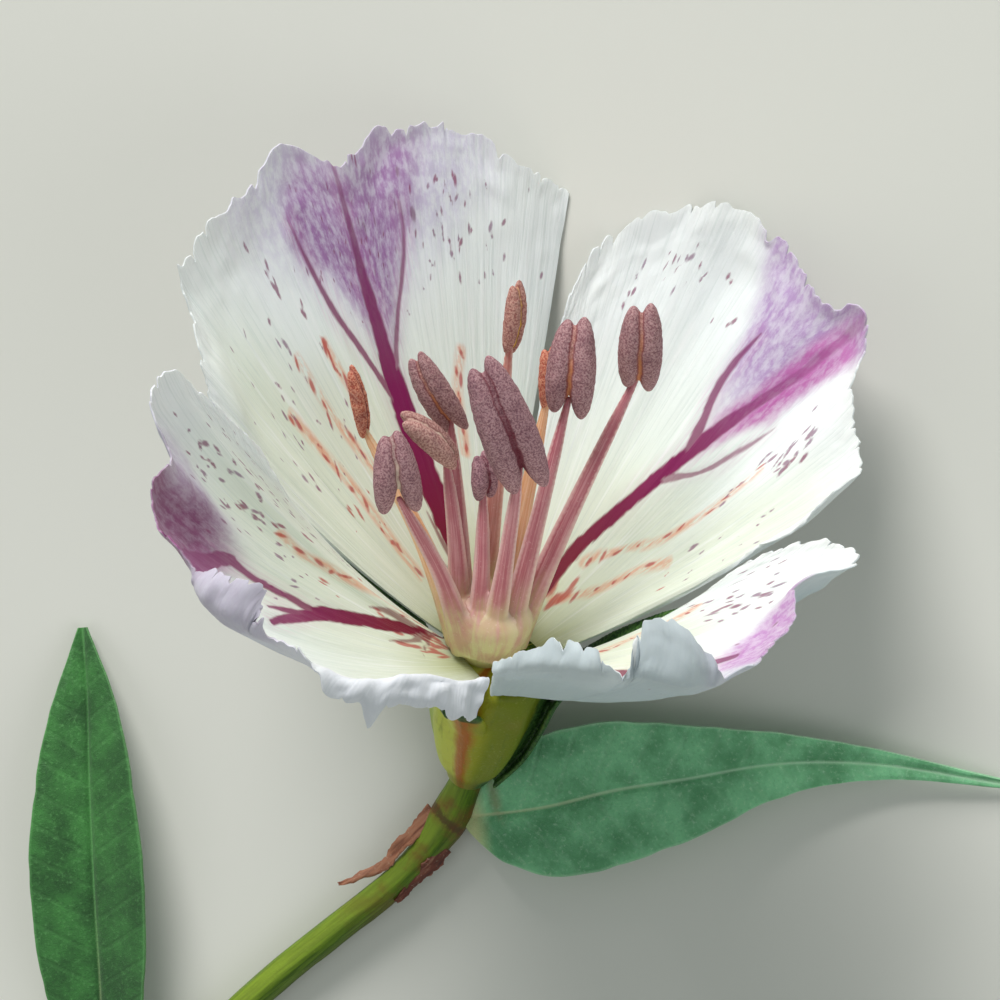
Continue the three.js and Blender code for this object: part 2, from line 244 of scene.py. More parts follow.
def addNode(tree, kind, settings=(), inputs=(), output=0):
    node = tree.nodes.new(kind)
    for key, value in dict(settings).items():
        if key == "stops":
            ramp = node.color_ramp
            while len(ramp.elements) < len(value):
                ramp.elements.new(1)
            for element, (place, colour) in zip(ramp.elements, value):
                element.position, element.color = place, colour
        elif key == "points":
            curve = node.mapping.curves[0]
            while len(curve.points) < len(value):
                curve.points.new(1, 1)
            for point, place in zip(curve.points, value):
                point.location = place
            node.mapping.extend = "HORIZONTAL"
            node.mapping.update()
        else:
            setattr(node, key, value)
    for key, value in dict(inputs).items():
        if isinstance(value, Wire):
            tree.links.new(value.socket, node.inputs[key])
        else:
            node.inputs[key].default_value = value
    return Wire(tree, node.outputs[output])


def srgb(*channels):
    shares = [channel / 255 for channel in channels]
    return (*(c / 12.92 if c <= 0.04045 else ((c + 0.055) / 1.055) ** 2.4 for c in shares), 1)


def newMaterial(name, **constants):
    material = bpy.data.materials.new(name)
    material.use_nodes = True
    shader = material.node_tree.nodes["Principled BSDF"]
    for key, value in constants.items():
        shader.inputs[key.replace("_", " ")].default_value = value
    return material


def connect(material, **wires):
    shader = material.node_tree.nodes["Principled BSDF"]
    for key, wire in wires.items():
        material.node_tree.links.new(wire.socket, shader.inputs[key.replace("_", " ")])


# 0 below the first limit and 1 above the second, also the other way round.
def smooth(value, low, high):
    return value.node(
        "ShaderNodeMapRange", {"interpolation_type": "SMOOTHSTEP"}, {"Value": value, 1: low, 2: high},
    )


def blend(factor, first, second):
    return factor.node("ShaderNodeMix", {"data_type": "RGBA"}, {0: factor, 6: first, 7: second}, 2)


def ramp(value, *stops):
    return value.node("ShaderNodeValToRGB", {"stops": stops}, {0: value})


def curved(value, points):
    return value.node("ShaderNodeFloatCurve", {"points": points}, {"Value": value})


def noise(vector, scale, detail=3, roughness=0.5):
    inputs = {"Vector": vector, "Scale": scale, "Detail": detail, "Roughness": roughness}
    return vector.node("ShaderNodeTexNoise", {"noise_dimensions": "3D"}, inputs)


def combined(x, y, z=0.0):
    return x.node("ShaderNodeCombineXYZ", (), {0: x, 1: y, 2: z})


# The spot on the piece in millimetres.
def objectPoint(material):
    point = addNode(material.node_tree, "ShaderNodeTexCoord", (), (), 3)
    return point.node("ShaderNodeMapping", (), {"Vector": point, "Scale": (1 / mm,) * 3})


# The piece's own UV as across and along.
def ownUV(material):
    return split(addNode(material.node_tree, "ShaderNodeTexCoord", (), (), 2))[:2]


def attribute(material, name):
    return addNode(material.node_tree, "ShaderNodeAttribute", {"attribute_name": name}, (), 1)


def number(material, name):
    return addNode(material.node_tree, "ShaderNodeAttribute", {"attribute_name": name}, (), 2)


def split(vector):
    return [vector.node("ShaderNodeSeparateXYZ", (), {0: vector}, k) for k in range(3)]


def bumped(height, strength, distance):
    return height.node("ShaderNodeBump", (), {"Strength": strength, "Distance": distance, "Height": height})


print("tools ready")

# Petals

# How a petal is drawn. Margin points run from one side to the other and are
# (azimuth, opening, reach, hem width, hem curl). Marks are placed by (share of the
# way out from the claw, share of the way across), and their widths are millimetres.
# A fleck may add its size. Fleck fields are (count, along, across, length, width, size)
# and creamy parts are (along, across, half length, half width, strength).
petalBody = {
    "columns": 348, "rows": 100, "thickness": 0.34, "clawRing": 3.0, "clawHalfWidth": 2.5, "clawRise": 4.6,
    "ripplePhase": 31, "ribs": 0.075, "crinkle": 0.42, "fineCrinkle": 0.12, "dent": 0.35, "fray": 0.24,
    "teeth": (0.6, 0.55, 0.42), "toothWidths": (2.4, 0.9, 0.42), "notch": 0.75, "notchWidth": 1.5,
    "flatClaw": 5,
}

crimson = srgb(118, 2, 42)
magenta = srgb(128, 12, 84)
salmon = srgb(224, 150, 116)
rust = srgb(184, 62, 56)
greyMauve = srgb(138, 104, 134)

# Each petal's outer colour is painted shade: a grey-blue for its outer face and for its hems rolled under.
petals = {
    "petalBackLeft": {
        "node": "petal_back_left", "belly": 7, "ripple": 0.45, "seed": 3, "span": 56, "length": 43,
        "outer": srgb(208, 216, 218), "mottle": 0.5,
        "margin": [
            (137.5, 50.5, 29, 2.5, 5), (130, 49, 38, 2.5, 5), (125, 49, 40, 2.5, 10), (122.5, 48, 43, 2.5, 10),
            (116, 47, 44.7, 2.5, 15), (106, 46, 45.7, 2.5, 15), (100, 46, 47, 2.5, 15), (92.5, 45, 43.8, 2.5, 5),
            (83, 45, 45.8, 2.5, 15), (72, 45, 44.8, 2.5, 10), (66, 46, 43.2, 2.5, 5), (59.5, 47, 41.5, 2.5, 0),
            (54.5, 48.5, 40.6, 2.5, 0),
        ],
        "drops": [(0.27, 0.006, 0.9)],
        "cream": [(0.5, 0.16, 0.5, 0.24, 0.9), (0.3, 0.35, 0.35, 0.4, 0.8)],
        "veins": [
            {"path": [(0.03, 0.65), (0.207, 0.623), (0.297, 0.613), (0.38, 0.606), (0.6, 0.605), (0.87, 0.603),
                      (1.02, 0.6)],
             "widths": [0.16, 0.42, 0.92, 1.02, 0.98, 0.9, 0.62, 0.48, 0.34, 0.24, 0.14],
             "dark": [1, 1, 1, 1, 1, 1, 0.95, 0.9, 0.8, 0.7, 0.5]},
            {"path": [(0.46, 0.6), (0.52, 0.573), (0.587, 0.54), (0.657, 0.515), (0.74, 0.503), (0.823, 0.495),
                      (0.87, 0.492)],
             "widths": [0.34, 0.3, 0.22, 0.16, 0.04], "dark": 0.85},
            {"path": [(0.5, 0.607), (0.583, 0.625), (0.647, 0.655), (0.713, 0.688), (0.79, 0.705), (0.86, 0.705)],
             "widths": [0.3, 0.24, 0.18, 0.14, 0.04], "dark": 0.75},
            {"path": [(0.1, 0.6), (0.19, 0.56), (0.25, 0.545)], "widths": [0.3, 0.24, 0.02], "dark": 0.75},
            {"path": [(0.08, 0.56), (0.15, 0.48), (0.2, 0.44)], "widths": [0.26, 0.2, 0.02], "dark": 0.6},
        ],
        "washes": [
            {"left": [(0.5, 0.6), (0.58, 0.585), (0.667, 0.565), (0.737, 0.53), (0.763, 0.495), (0.85, 0.475),
                      (0.9, 0.5), (1, 0.53)],
             "right": [(0.5, 0.61), (0.6, 0.65), (0.72, 0.68), (0.797, 0.715), (0.913, 0.738), (1, 0.76)],
             "from": (0.5, 0.74), "until": (1.06, 0.94), "strength": 1.0, "soft": 0.035},
            {"left": [(0.55, 0.56), (0.8, 0.44), (0.9, 0.4), (1, 0.38)],
             "right": [(0.55, 0.68), (0.8, 0.78), (0.9, 0.84), (1, 0.88)],
             "from": (0.55, 0.85), "until": (1.2, 1.0), "strength": 0.8, "soft": 0.08},
        ],
        "washColours": (srgb(156, 112, 166), srgb(196, 182, 218)),
        "streaks": [
            [(0.52, 0.475), (0.55, 0.47), (0.607, 0.463), (0.64, 0.46)],
            [(0.3, 0.43), (0.39, 0.415), (0.48, 0.395), (0.54, 0.388), (0.613, 0.385), (0.66, 0.383)],
            [(0.15, 0.32), (0.213, 0.318), (0.283, 0.323), (0.377, 0.325), (0.453, 0.315), (0.533, 0.305),
             (0.6, 0.297)],
            [(0.34, 0.775), (0.387, 0.775), (0.47, 0.772), (0.557, 0.792)],
        ],
        "flecks": [(0.563, 0.173), (0.51, 0.195), (0.38, 0.25), (0.343, 0.268), (0.753, 0.37), (0.69, 0.375),
                   (0.907, 0.393), (0.843, 0.413), (0.793, 0.413), (0.723, 0.443), (0.993, 0.64), (0.903, 0.718),
                   (0.91, 0.797), (0.867, 0.888), (0.837, 0.863), (0.773, 0.807), (0.833, 0.765), (0.813, 0.728)],
        "fleckFields": [(34, 0.6, 0.3, 0.22, 0.16, 0.42), (34, 0.82, 0.8, 0.14, 0.13, 0.42),
                        (16, 0.4, 0.35, 0.16, 0.14, 0.3),
                        (60, 0.82, 0.6, 0.16, 0.16, 0.34)],
    },
    "petalBackRight": {
        "node": "petal_back_right", "belly": 7, "ripple": 0.45, "seed": 4, "span": 54, "length": 41,
        "outer": srgb(212, 220, 224), "mottle": 0.4,
        "margin": [
            (53, 47, 28, 2.5, 0), (51, 47, 33.4, 2.5, 5), (46, 47, 38, 2.5, 10), (37, 46.5, 41.6, 2.5, 10),
            (31.5, 46, 43.3, 2.5, 10), (26, 46, 43.7, 2.5, 15), (19.5, 45, 43.3, 2.5, 20), (8, 45, 41.5, 3, 35),
            (1, 45, 43.5, 4, 50), (-5, 45, 40.5, 3, 40), (-10, 44, 39, 2.5, 20), (-19, 44, 37, 2.5, 15),
            (-28.5, 43, 36.3, 2.5, 10), (-31, 43, 30, 2.5, 5),
        ],
        "drops": [],
        "cream": [(0.5, 0.88, 0.5, 0.16, 0.8), (0.25, 0.6, 0.25, 0.3, 0.6)],
        "veins": [
            {"path": [(0.03, 0.35), (0.117, 0.383), (0.213, 0.413), (0.307, 0.458), (0.423, 0.495), (0.52, 0.52),
                      (0.593, 0.537),
                      (0.68, 0.557), (0.753, 0.58), (0.823, 0.6), (0.9, 0.608), (1.02, 0.63)],
             "widths": [0.3, 0.48, 0.5, 0.48, 0.46, 0.5, 0.54, 0.46, 0.4, 0.36, 0.3],
             "dark": [1, 1, 1, 1, 1, 1, 0.95, 0.7, 0.45, 0.35, 0.3]},
            {"path": [(0.49, 0.512), (0.543, 0.52), (0.61, 0.505), (0.673, 0.487), (0.747, 0.485), (0.84, 0.497)],
             "widths": [0.3, 0.4, 0.32, 0.26, 0.04], "dark": 0.85},
            {"path": [(0.45, 0.505), (0.497, 0.55), (0.53, 0.593), (0.6, 0.618), (0.7, 0.64)],
             "widths": [0.3, 0.26, 0.2, 0.14, 0.02], "dark": 0.7},
        ],
        "washes": [
            {"left": [(0.5, 0.51), (0.6, 0.52), (0.713, 0.545), (0.8, 0.56), (0.92, 0.58), (1, 0.6)],
             "right": [(0.5, 0.518), (0.547, 0.545), (0.62, 0.58), (0.683, 0.615), (0.803, 0.635), (0.937, 0.66),
                       (1, 0.68)],
             "from": (0.5, 0.7), "until": (1.03, 0.88), "strength": 1.0, "soft": 0.018},
            {"left": [(0.52, 0.5), (0.6, 0.49), (0.717, 0.475), (0.797, 0.465), (0.893, 0.44), (1, 0.41)],
             "right": [(0.5, 0.518), (0.547, 0.545), (0.62, 0.58), (0.683, 0.612), (0.803, 0.632), (0.937, 0.657),
                       (1, 0.68)],
             "from": (0.54, 0.82), "until": (1.2, 1.0), "strength": 0.95, "soft": 0.03},
        ],
        "washColours": (srgb(184, 100, 168), srgb(170, 134, 188)),
        "streaks": [
            [(0.093, 0.475), (0.177, 0.652), (0.297, 0.72), (0.4, 0.777)],
            [(0.2, 0.48), (0.24, 0.517), (0.337, 0.65), (0.453, 0.698), (0.51, 0.708), (0.57, 0.713), (0.69, 0.72)],
        ],
        "flecks": [(0.693, 0.7), (0.797, 0.715), (0.853, 0.74), (0.767, 0.76), (0.367, 0.855), (0.48, 0.775),
                   (0.88, 0.318),
                   (0.853, 0.345), (0.857, 0.388), (0.88, 0.24), (0.82, 0.24), (0.783, 0.432), (0.86, 0.743), (0.773, 0.763),
                   (0.637, 0.713), (0.587, 0.71), (0.86, 0.755), (0.74, 0.75), (0.11, 0.42, 2), (0.08, 0.5, 1.6),
                   (0.13, 0.5, 2), (0.1, 0.46, 1.8)],
        "fleckFields": [(10, 0.78, 0.74, 0.1, 0.04, 0.7), (14, 0.84, 0.32, 0.08, 0.1, 0.4),
                        (14, 0.55, 0.85, 0.2, 0.08, 0.4)],
    },
    "petalFrontLeft": {
        "node": "petal_front_left", "belly": 12, "ripple": 0.35, "seed": 5, "span": 62, "length": 41,
        "outer": srgb(216, 216, 234), "mottle": 0.25,
        "margin": [
            (141, 46.5, 30.5, 2.5, 5), (146, 44.5, 39, 2.5, 5), (149, 43.5, 43, 2.5, 10), (152, 46, 43.6, 2.5, 20),
            (156, 47.3, 42.6, 2.5, 20), (160, 48.2, 40.3, 2.5, 15), (164, 49.3, 41.7, 2.5, 20),
            (168, 50.2, 41.8, 2.5, 15), (172.5, 50.2, 42.3, 2.5, 12), (177, 50.2, 42.2, 2.5, 10),
            (179.5, 50.6, 41.4, 1.6, 30), (181.5, 50.7, 42.4, 2.2, 90), (184, 50.5, 43.8, 4, 100),
            (187, 50.2, 44.6, 5.1, 105), (190, 49.8, 44.4, 5.4, 108), (192, 49.5, 41.8, 3, 95),
            (194, 49.3, 40.1, 1.6, 60), (199, 48.5, 39.4, 1.6, 40), (203, 47.8, 38.6, 2, -60),
            (207, 47.2, 38.6, 3.4, -140), (215, 44.8, 35.6, 3.6, -150), (221, 43, 33.2, 3.6, -150),
            (226, 42, 30.8, 4.2, -140), (228.5, 42, 29.4, 4.6, -120),
        ],
        "drops": [(0.842, 0.008, 2.8), (0.9, 0.012, 0.5), (0.945, 0.012, 0.7), (0.98, 0.016, 0.6)],
        "cream": [(0.4, 0.15, 0.5, 0.4, 0.7), (0.3, 0.9, 0.5, 0.3, 0.6)],
        "veins": [
            {"path": [(0.03, 0.02), (0.06, 0.118), (0.123, 0.242), (0.237, 0.323), (0.33, 0.362), (0.417, 0.393),
                      (0.503, 0.445),
                      (0.64, 0.5)],
             "widths": [0.2, 0.34, 0.46, 0.56, 0.62, 0.66, 0.6, 0.4, 0.22], "dark": 1.0},
            {"path": [(0.4, 0.387), (0.457, 0.415), (0.533, 0.432), (0.6, 0.45)], "widths": [0.5, 0.42, 0.3, 0.1],
             "dark": 0.95},
            {"path": [(0.39, 0.38), (0.417, 0.393), (0.487, 0.385), (0.547, 0.385), (0.62, 0.385), (0.703, 0.378)],
             "widths": [0.5, 0.36, 0.26, 0.26, 0.3, 0.4], "dark": 0.9},
            {"path": [(0.69, 0.376), (0.74, 0.392), (0.783, 0.415), (0.86, 0.442), (0.937, 0.465), (1.02, 0.468)],
             "widths": [0.4, 0.7, 1.0, 1.3, 1.5, 1.2], "dark": 0.85},
            {"path": [(0.06, 0.118), (0.1, 0.35), (0.12, 0.46)], "widths": [0.3, 0.26, 0.02], "dark": 0.7},
            {"path": [(0.08, 0.2), (0.147, 0.357), (0.21, 0.4)], "widths": [0.3, 0.3, 0.02], "dark": 0.7},
            {"path": [(0.12, 0.22), (0.19, 0.22), (0.25, 0.26)], "widths": [0.3, 0.26, 0.02], "dark": 0.7},
        ],
        "washes": [
            {"left": [(0.62, 0.365), (0.667, 0.35), (0.76, 0.335), (0.84, 0.325), (1, 0.33)],
             "right": [(0.62, 0.4), (0.703, 0.41), (0.783, 0.45), (0.9, 0.5), (1, 0.52)],
             "from": (0.6, 0.84), "until": (1.2, 1.0), "strength": 1.0, "soft": 0.04},
            {"left": [(0.6, 0.34), (0.76, 0.3), (0.87, 0.26), (1, 0.26)],
             "right": [(0.6, 0.42), (0.78, 0.53), (0.9, 0.66), (1, 0.72)],
             "from": (0.58, 0.85), "until": (1.2, 1.0), "strength": 0.9, "soft": 0.06},
        ],
        "washColours": (srgb(122, 56, 104), srgb(172, 152, 182)),
        "streaks": [
            [(0.1, 0.06), (0.157, 0.1), (0.24, 0.175), (0.323, 0.21), (0.387, 0.22), (0.447, 0.235), (0.52, 0.23)],
        ],
        "flecks": [(0.86, 0.193), (0.8, 0.212), (0.737, 0.205), (0.86, 0.085), (0.787, 0.253), (0.72, 0.235),
                   (0.643, 0.188),
                   (0.693, 0.275), (0.643, 0.242), (0.623, 0.1), (0.473, 0.195), (0.53, 0.22), (0.503, 0.33), (0.39, 0.273),
                   (0.537, 0.292), (0.06, 0.4, 1.5), (0.1, 0.42, 1.4), (0.17, 0.3, 1.4), (0.08, 0.14, 1.5), (0.1, 0.24, 1.6),
                   (0.13, 0.34, 1.6), (0.07, 0.32, 1.4), (0.16, 0.4, 1.3), (0.2, 0.34, 1.3), (0.05, 0.22, 1.6),
                   (0.14, 0.14, 1.2), (0.21, 0.24, 1.2)],
        "fleckFields": [(50, 0.7, 0.2, 0.2, 0.14, 0.5), (20, 0.5, 0.1, 0.25, 0.06, 0.5),
                        (24, 0.55, 0.3, 0.2, 0.1, 0.45)],
    },
    "petalFrontRight": {
        "node": "petal_front_right", "belly": 9, "ripple": 0.35, "seed": 6, "span": 54, "length": 38,
        "outer": srgb(182, 196, 204), "mottle": 0.35,
        "margin": [
            (321, 41.5, 27, 2.5, 0), (317.5, 40.5, 32, 2.5, 5), (310.5, 40.5, 37.5, 2.5, 5), (303, 41.5, 40, 2.5, 0),
            (298, 40, 36.5, 2.5, 10), (292, 40.8, 37, 2, 10), (286, 41.7, 38.2, 2, 8), (280, 42.5, 39.3, 2, 8),
            (275, 42.6, 41, 2, 8), (270.6, 42.5, 42.3, 2, 8), (268, 42.4, 40.4, 1.5, 30),
            (265.5, 42.1, 42, 3.4, 90), (262.5, 41.9, 43.6, 5.8, 95), (259, 41.4, 42.9, 6.3, 95),
            (257.3, 41, 42.1, 6.4, 95), (255.3, 40.6, 39.9, 4.6, 95), (253.6, 40.3, 36.2, 1.2, 60),
            (250.8, 39.9, 35.9, 1.2, 60), (248.6, 39.6, 37, 2.4, 90), (244.8, 39.2, 36.6, 2.8, 95),
            (238.5, 39, 34, 2.2, 90), (234.5, 39, 31.4, 1.3, 60), (231.5, 39.5, 29.2, 1.2, 60),
            (229.5, 40, 27, 1.2, 60),
        ],
        "drops": [],
        "cream": [(0.2, 0.3, 0.35, 0.4, 1.0), (0.5, 0.95, 0.5, 0.25, 0.6)],
        "veins": [
            {"path": [(0.03, 0.3), (0.3, 0.38), (0.55, 0.4), (0.72, 0.4), (0.8, 0.4)],
             "widths": [0.2, 0.4, 0.5, 0.5, 0.3], "dark": 0.9},
        ],
        "washes": [
            {"left": [(0.6, 0.39), (0.78, 0.36), (0.893, 0.32), (1, 0.3)],
             "right": [(0.6, 0.44), (0.79, 0.46), (0.9, 0.49), (1, 0.5)],
             "from": (0.68, 0.82), "until": (1.2, 1.0), "strength": 1.0, "soft": 0.02},
            {"left": [(0.6, 0.44), (0.9, 0.46), (1, 0.47)],
             "right": [(0.6, 0.5), (0.9, 0.57), (1, 0.6)],
             "from": (0.7, 0.86), "until": (1.2, 1.0), "strength": 0.7, "soft": 0.04},
        ],
        "washColours": (srgb(186, 128, 192), srgb(176, 164, 198)),
        "streaks": [[(0.1, 0.2), (0.3, 0.12), (0.5, 0.1), (0.6, 0.08)]],
        "flecks": [(0.883, 0.107), (0.87, 0.037), (0.7, 0.02), (0.567, 0.135), (0.607, 0.193), (0.68, 0.217),
                   (0.543, 0.195),
                   (0.773, 0.365), (0.68, 0.15), (0.63, 0.1), (0.72, 0.28), (0.76, 0.2)],
        "fleckFields": [(26, 0.7, 0.17, 0.2, 0.13, 0.75), (8, 0.8, 0.6, 0.1, 0.1, 0.3)],
    },
}


# The margin's numbers at each share of its length.
def marginAt(petal, across):
    margin = np.array(petal["margin"], float)
    step = Path(directed(margin[:, 0], margin[:, 1], margin[:, 2])).stepAt(across)
    azimuth, opening, reach = Path(margin[:, :3]).at(step).T
    width, curl = Path(np.column_stack([margin[:, 3:], 0 * margin[:, 0]])).at(step).T[:2]
    return azimuth, opening, reach, width, curl


# The petal's surface in the flower's frame.
def petalSurface(petal, across, along):
    azimuth, opening, reach, width, curl = marginAt(petal, across)
    first, last = petal["margin"][0][0], petal["margin"][-1][0]
    middle, half = (first + last) / 2, petalBody["clawHalfWidth"] * np.sign(last - first)
    claw = directed(middle, 90, petalBody["clawRing"]) + np.outer(2 * across - 1, directed(middle + 90, 90, half))
    claw[:, 2] = petalBody["clawRise"]
    crest = reach - width

    def onBowl(part):
        spread = directed(azimuth, opening + petal["belly"] * (1 - part), crest * part)
        return spread + claw * (1 - part)[:, None]

    fromSides = np.sin(np.pi * across)
    part = np.minimum(along * reach / crest, 1)
    beyond = np.maximum(along * reach - crest, 0)
    outward = unit(onBowl(part + 0.01) - onBowl(part - 0.01))
    inward = unit(np.cross(outward, directed(azimuth + 90, 90 + 0 * azimuth, 1)))
    wave = petal["ripple"] * part**3 * np.sin(petalBody["ripplePhase"] * across + petal["seed"]) * fromSides
    beyond += petalFrill(petal, across) * np.clip(beyond / width, 0, 1) ** 1.5
    bend = np.where(np.abs(curl) < 0.6, 0.01, np.radians(curl)) / width
    bent = np.minimum(beyond, width)
    straight = (beyond - bent)[:, None]
    points = onBowl(part) + inward * wave[:, None]
    points += outward * (np.sin(bend * bent) / bend)[:, None] + inward * ((1 - np.cos(bend * bent)) / bend)[:, None]
    return points + straight * (outward * np.cos(bend * bent)[:, None] + inward * np.sin(bend * bent)[:, None])


# How far the margin's teeth stand out, from broad to fine, with sharp notches between them.
def petalFrill(petal, across):
    seed, span = petal["seed"], petal["span"]
    frill = 0 * across
    for k, (tooth, width) in enumerate(zip(petalBody["teeth"], petalBody["toothWidths"])):
        frill += tooth * (softNoise(across * span / width, 0 * across, seed * 10 + k) - 0.55)
    notches = np.abs(softNoise(across * span / petalBody["notchWidth"], 0 * across, seed * 10 + 7) - 0.5)
    frill -= petalBody["notch"] * ease(notches, 0.09, 0)
    frill *= np.minimum(1, 4 * np.sin(np.pi * across) + 0.25) * (1 - 0.5 * ease(-marginAt(petal, across)[4], 80, 140))
    for centre, halfWidth, length in petal["drops"]:
        frill += length * np.exp(-(((across - centre) / halfWidth) ** 2))
    return frill


def petalRelief(petal, across, along):
    seed, span = petal["seed"] * 100, petal["span"]
    ribs = softNoise(across * span / 1.0, along * 3, seed) + 0.6 * softNoise(across * span / 0.5, along * 5, seed + 1)
    reach, width, curl = marginAt(petal, across)[2:]
    folded = ease(np.abs(curl), 30, 80) * ease(along * reach, reach - width, reach - width + 1)
    relief = petalBody["ribs"] * (ribs - 0.8) * ease(along, 0.15, 0.5) * (1 - 0.85 * folded)
    dent = softNoise(across * span / 3, along * 16, seed + 5) - 0.5
    fray = softNoise(across * span / 1.3, along * 44, seed + 6) - 0.5
    relief += folded * (2 * petalBody["dent"] * dent + 2 * petalBody["fray"] * fray * np.where(curl < 0, 1, 0.2))
    fold = softNoise(across * span / 4.5, along * 7, seed + 2) - 0.5
    relief += 2 * petalBody["crinkle"] * fold * ease(along, 0.62, 1)
    crease = softNoise(across * span / 1.6, along * 26, seed + 3) - 0.5
    relief += 2 * petalBody["fineCrinkle"] * crease * ease(along, 0.7, 1)
    pucker = softNoise(across * span / 0.7, along * 40, seed + 4) - 0.5
    return relief + petalBody["fineCrinkle"] * pucker * ease(along, 0.82, 1)


# The petal laid flat in millimetres, for measuring marks.
def laidFlat(petal, along, across):
    along, across = np.asarray(along, float), np.asarray(across, float)
    narrow = petalBody["flatClaw"]
    return np.column_stack([(across - 0.5) * (narrow + (petal["span"] - narrow) * along), along * petal["length"]])


# Distance of every spot to a line, and the share of the line where it is nearest.
def toLine(spots, line):
    best, place = np.full(len(spots), 1e9), np.zeros(len(spots))
    for k, (start, end) in enumerate(zip(line[:-1], line[1:])):
        course = end - start
        share = np.clip((spots - start) @ course / (course @ course), 0, 1)
        gap = np.linalg.norm(spots - start - share[:, None] * course, axis=1)
        closer = gap < best
        best[closer], place[closer] = gap[closer], (k + share[closer]) / (len(line) - 1)
    return best, place


def markLine(petal, path):
    smoothed = Path([(along, across, 0) for along, across in path]).along(np.linspace(0, 1, 50))
    return laidFlat(petal, smoothed[:, 0], smoothed[:, 1])


# Veins as (distance to the edge, darkness, share of the way out).
def veinField(petal, spots, along):
    rough = 0.25 * (softNoise(spots[:, 0] * 1.1 + 90, spots[:, 1] * 1.6, 51) - 0.5)
    edge, dark = np.full(len(spots), 9.0), np.ones(len(spots))
    for vein in petal["veins"]:
        gap, place = toLine(spots, markLine(petal, vein["path"]))
        width, shade = (
            np.interp(place, np.linspace(0, 1, len(values)), values)
            for values in (vein["widths"], np.atleast_1d(vein["dark"]))
        )
        beyond = gap - width * (1 + rough)
        closer = beyond < edge
        edge[closer], dark[closer] = beyond[closer], shade[closer]
    return np.column_stack([edge, dark, along])


# The two washes of a petal and its creamier parts, each from 0 to 1.
def washField(petal, across, along):
    layers = []
    ragged = 0.05 * (softNoise(across * 30, along * 9, 61) - 0.5)
    ragged += 0.02 * (softNoise(across * 90, along * 20, 62) - 0.5)
    for wash in petal["washes"]:
        soft = wash["soft"]
        left, right = (np.interp(along, *np.array(wash[side]).T) for side in ("left", "right"))
        shape = ease(across + ragged * soft * 12, left - soft, left + soft)
        shape *= ease(across + ragged * soft * 8, right + soft, right - soft)
        layers.append(shape * ease(along, *wash["from"]) * ease(along, *wash["until"]) * wash["strength"])
    cream = 0 * across
    for middle, centre, halfLength, halfWidth, strength in petal["cream"]:
        apart = ((along - middle) / halfLength) ** 2 + ((across - centre) / halfWidth) ** 2
        cream = np.maximum(cream, ease(apart, 1.3, 0.2) * strength)
    return np.column_stack([*layers, cream])


# Salmon lines as a distance, and flecks as (share of the way to the edge, tint):
# tint runs from grey mauve (0) over magenta (0.5) to rust (1).
def fleckField(petal, spots):
    dice = np.random.default_rng(petal["seed"] + 40)
    streak = np.full(len(spots), 9.0)
    strokes = []
    for path in petal["streaks"]:
        line = markLine(petal, path)
        streak = np.minimum(streak, toLine(spots, line)[0])
        place = dice.uniform(0.02, 0.08)
        while place < 1:
            centre = line[int(place * 49)] + dice.normal(0, 0.16, 2)
            strokes.append((
                centre, dice.uniform(0.3, 0.9), dice.uniform(0.09, 0.2), dice.normal(0, 0.2), dice.uniform(0.8, 1),
            ))
            place += dice.uniform(0.06, 0.19)
    for along, across, *sizes in petal["flecks"]:
        tint = 0.9 if along < 0.45 else dice.uniform(0, 0.6)
        size = sizes[0] if sizes else 1
        for _ in range(dice.integers(1, 4)):
            centre = laidFlat(petal, [along], [across])[0] + size * dice.normal(0, 1, 2) * (0.14, 0.4)
            strokes.append((
                centre, size * dice.uniform(0.35, 0.75), size * dice.uniform(0.09, 0.15), dice.normal(0, 0.12), tint,
            ))
    for count, along, across, length, width, size in petal["fleckFields"]:
        for _ in range(count):
            out, aside = along + length * dice.normal(0, 0.5), across + width * dice.normal(0, 0.5)
            if 0.05 < out < 0.97 and 0.02 < aside < 0.98:
                centre = laidFlat(petal, [out], [aside])[0]
                strokes.append((
                    centre, size * dice.uniform(0.6, 1.5), size * dice.uniform(0.16, 0.28), dice.normal(0, 0.14),
                    dice.uniform(0, 0.5) if out > 0.4 else 0.9,
                ))
    ratio, tint = np.full(len(spots), 9.0), np.zeros(len(spots))
    narrow, spread = petalBody["flatClaw"], petal["span"] - petalBody["flatClaw"]
    for centre, length, width, tilt, colour in strokes:
        slope = centre[0] * spread / (narrow + spread * centre[1] / petal["length"])
        heading = math.atan2(petal["length"], slope) + tilt
        ahead = np.array([math.cos(heading), math.sin(heading)])
        apart = spots - centre
        lengthwise, sideways = apart @ ahead, apart @ np.array([-ahead[1], ahead[0]])
        near = np.hypot(lengthwise / length, sideways / width)
        closer = near < ratio
        ratio[closer], tint[closer] = near[closer], colour
    return np.column_stack([streak, np.minimum(ratio, 4), tint])


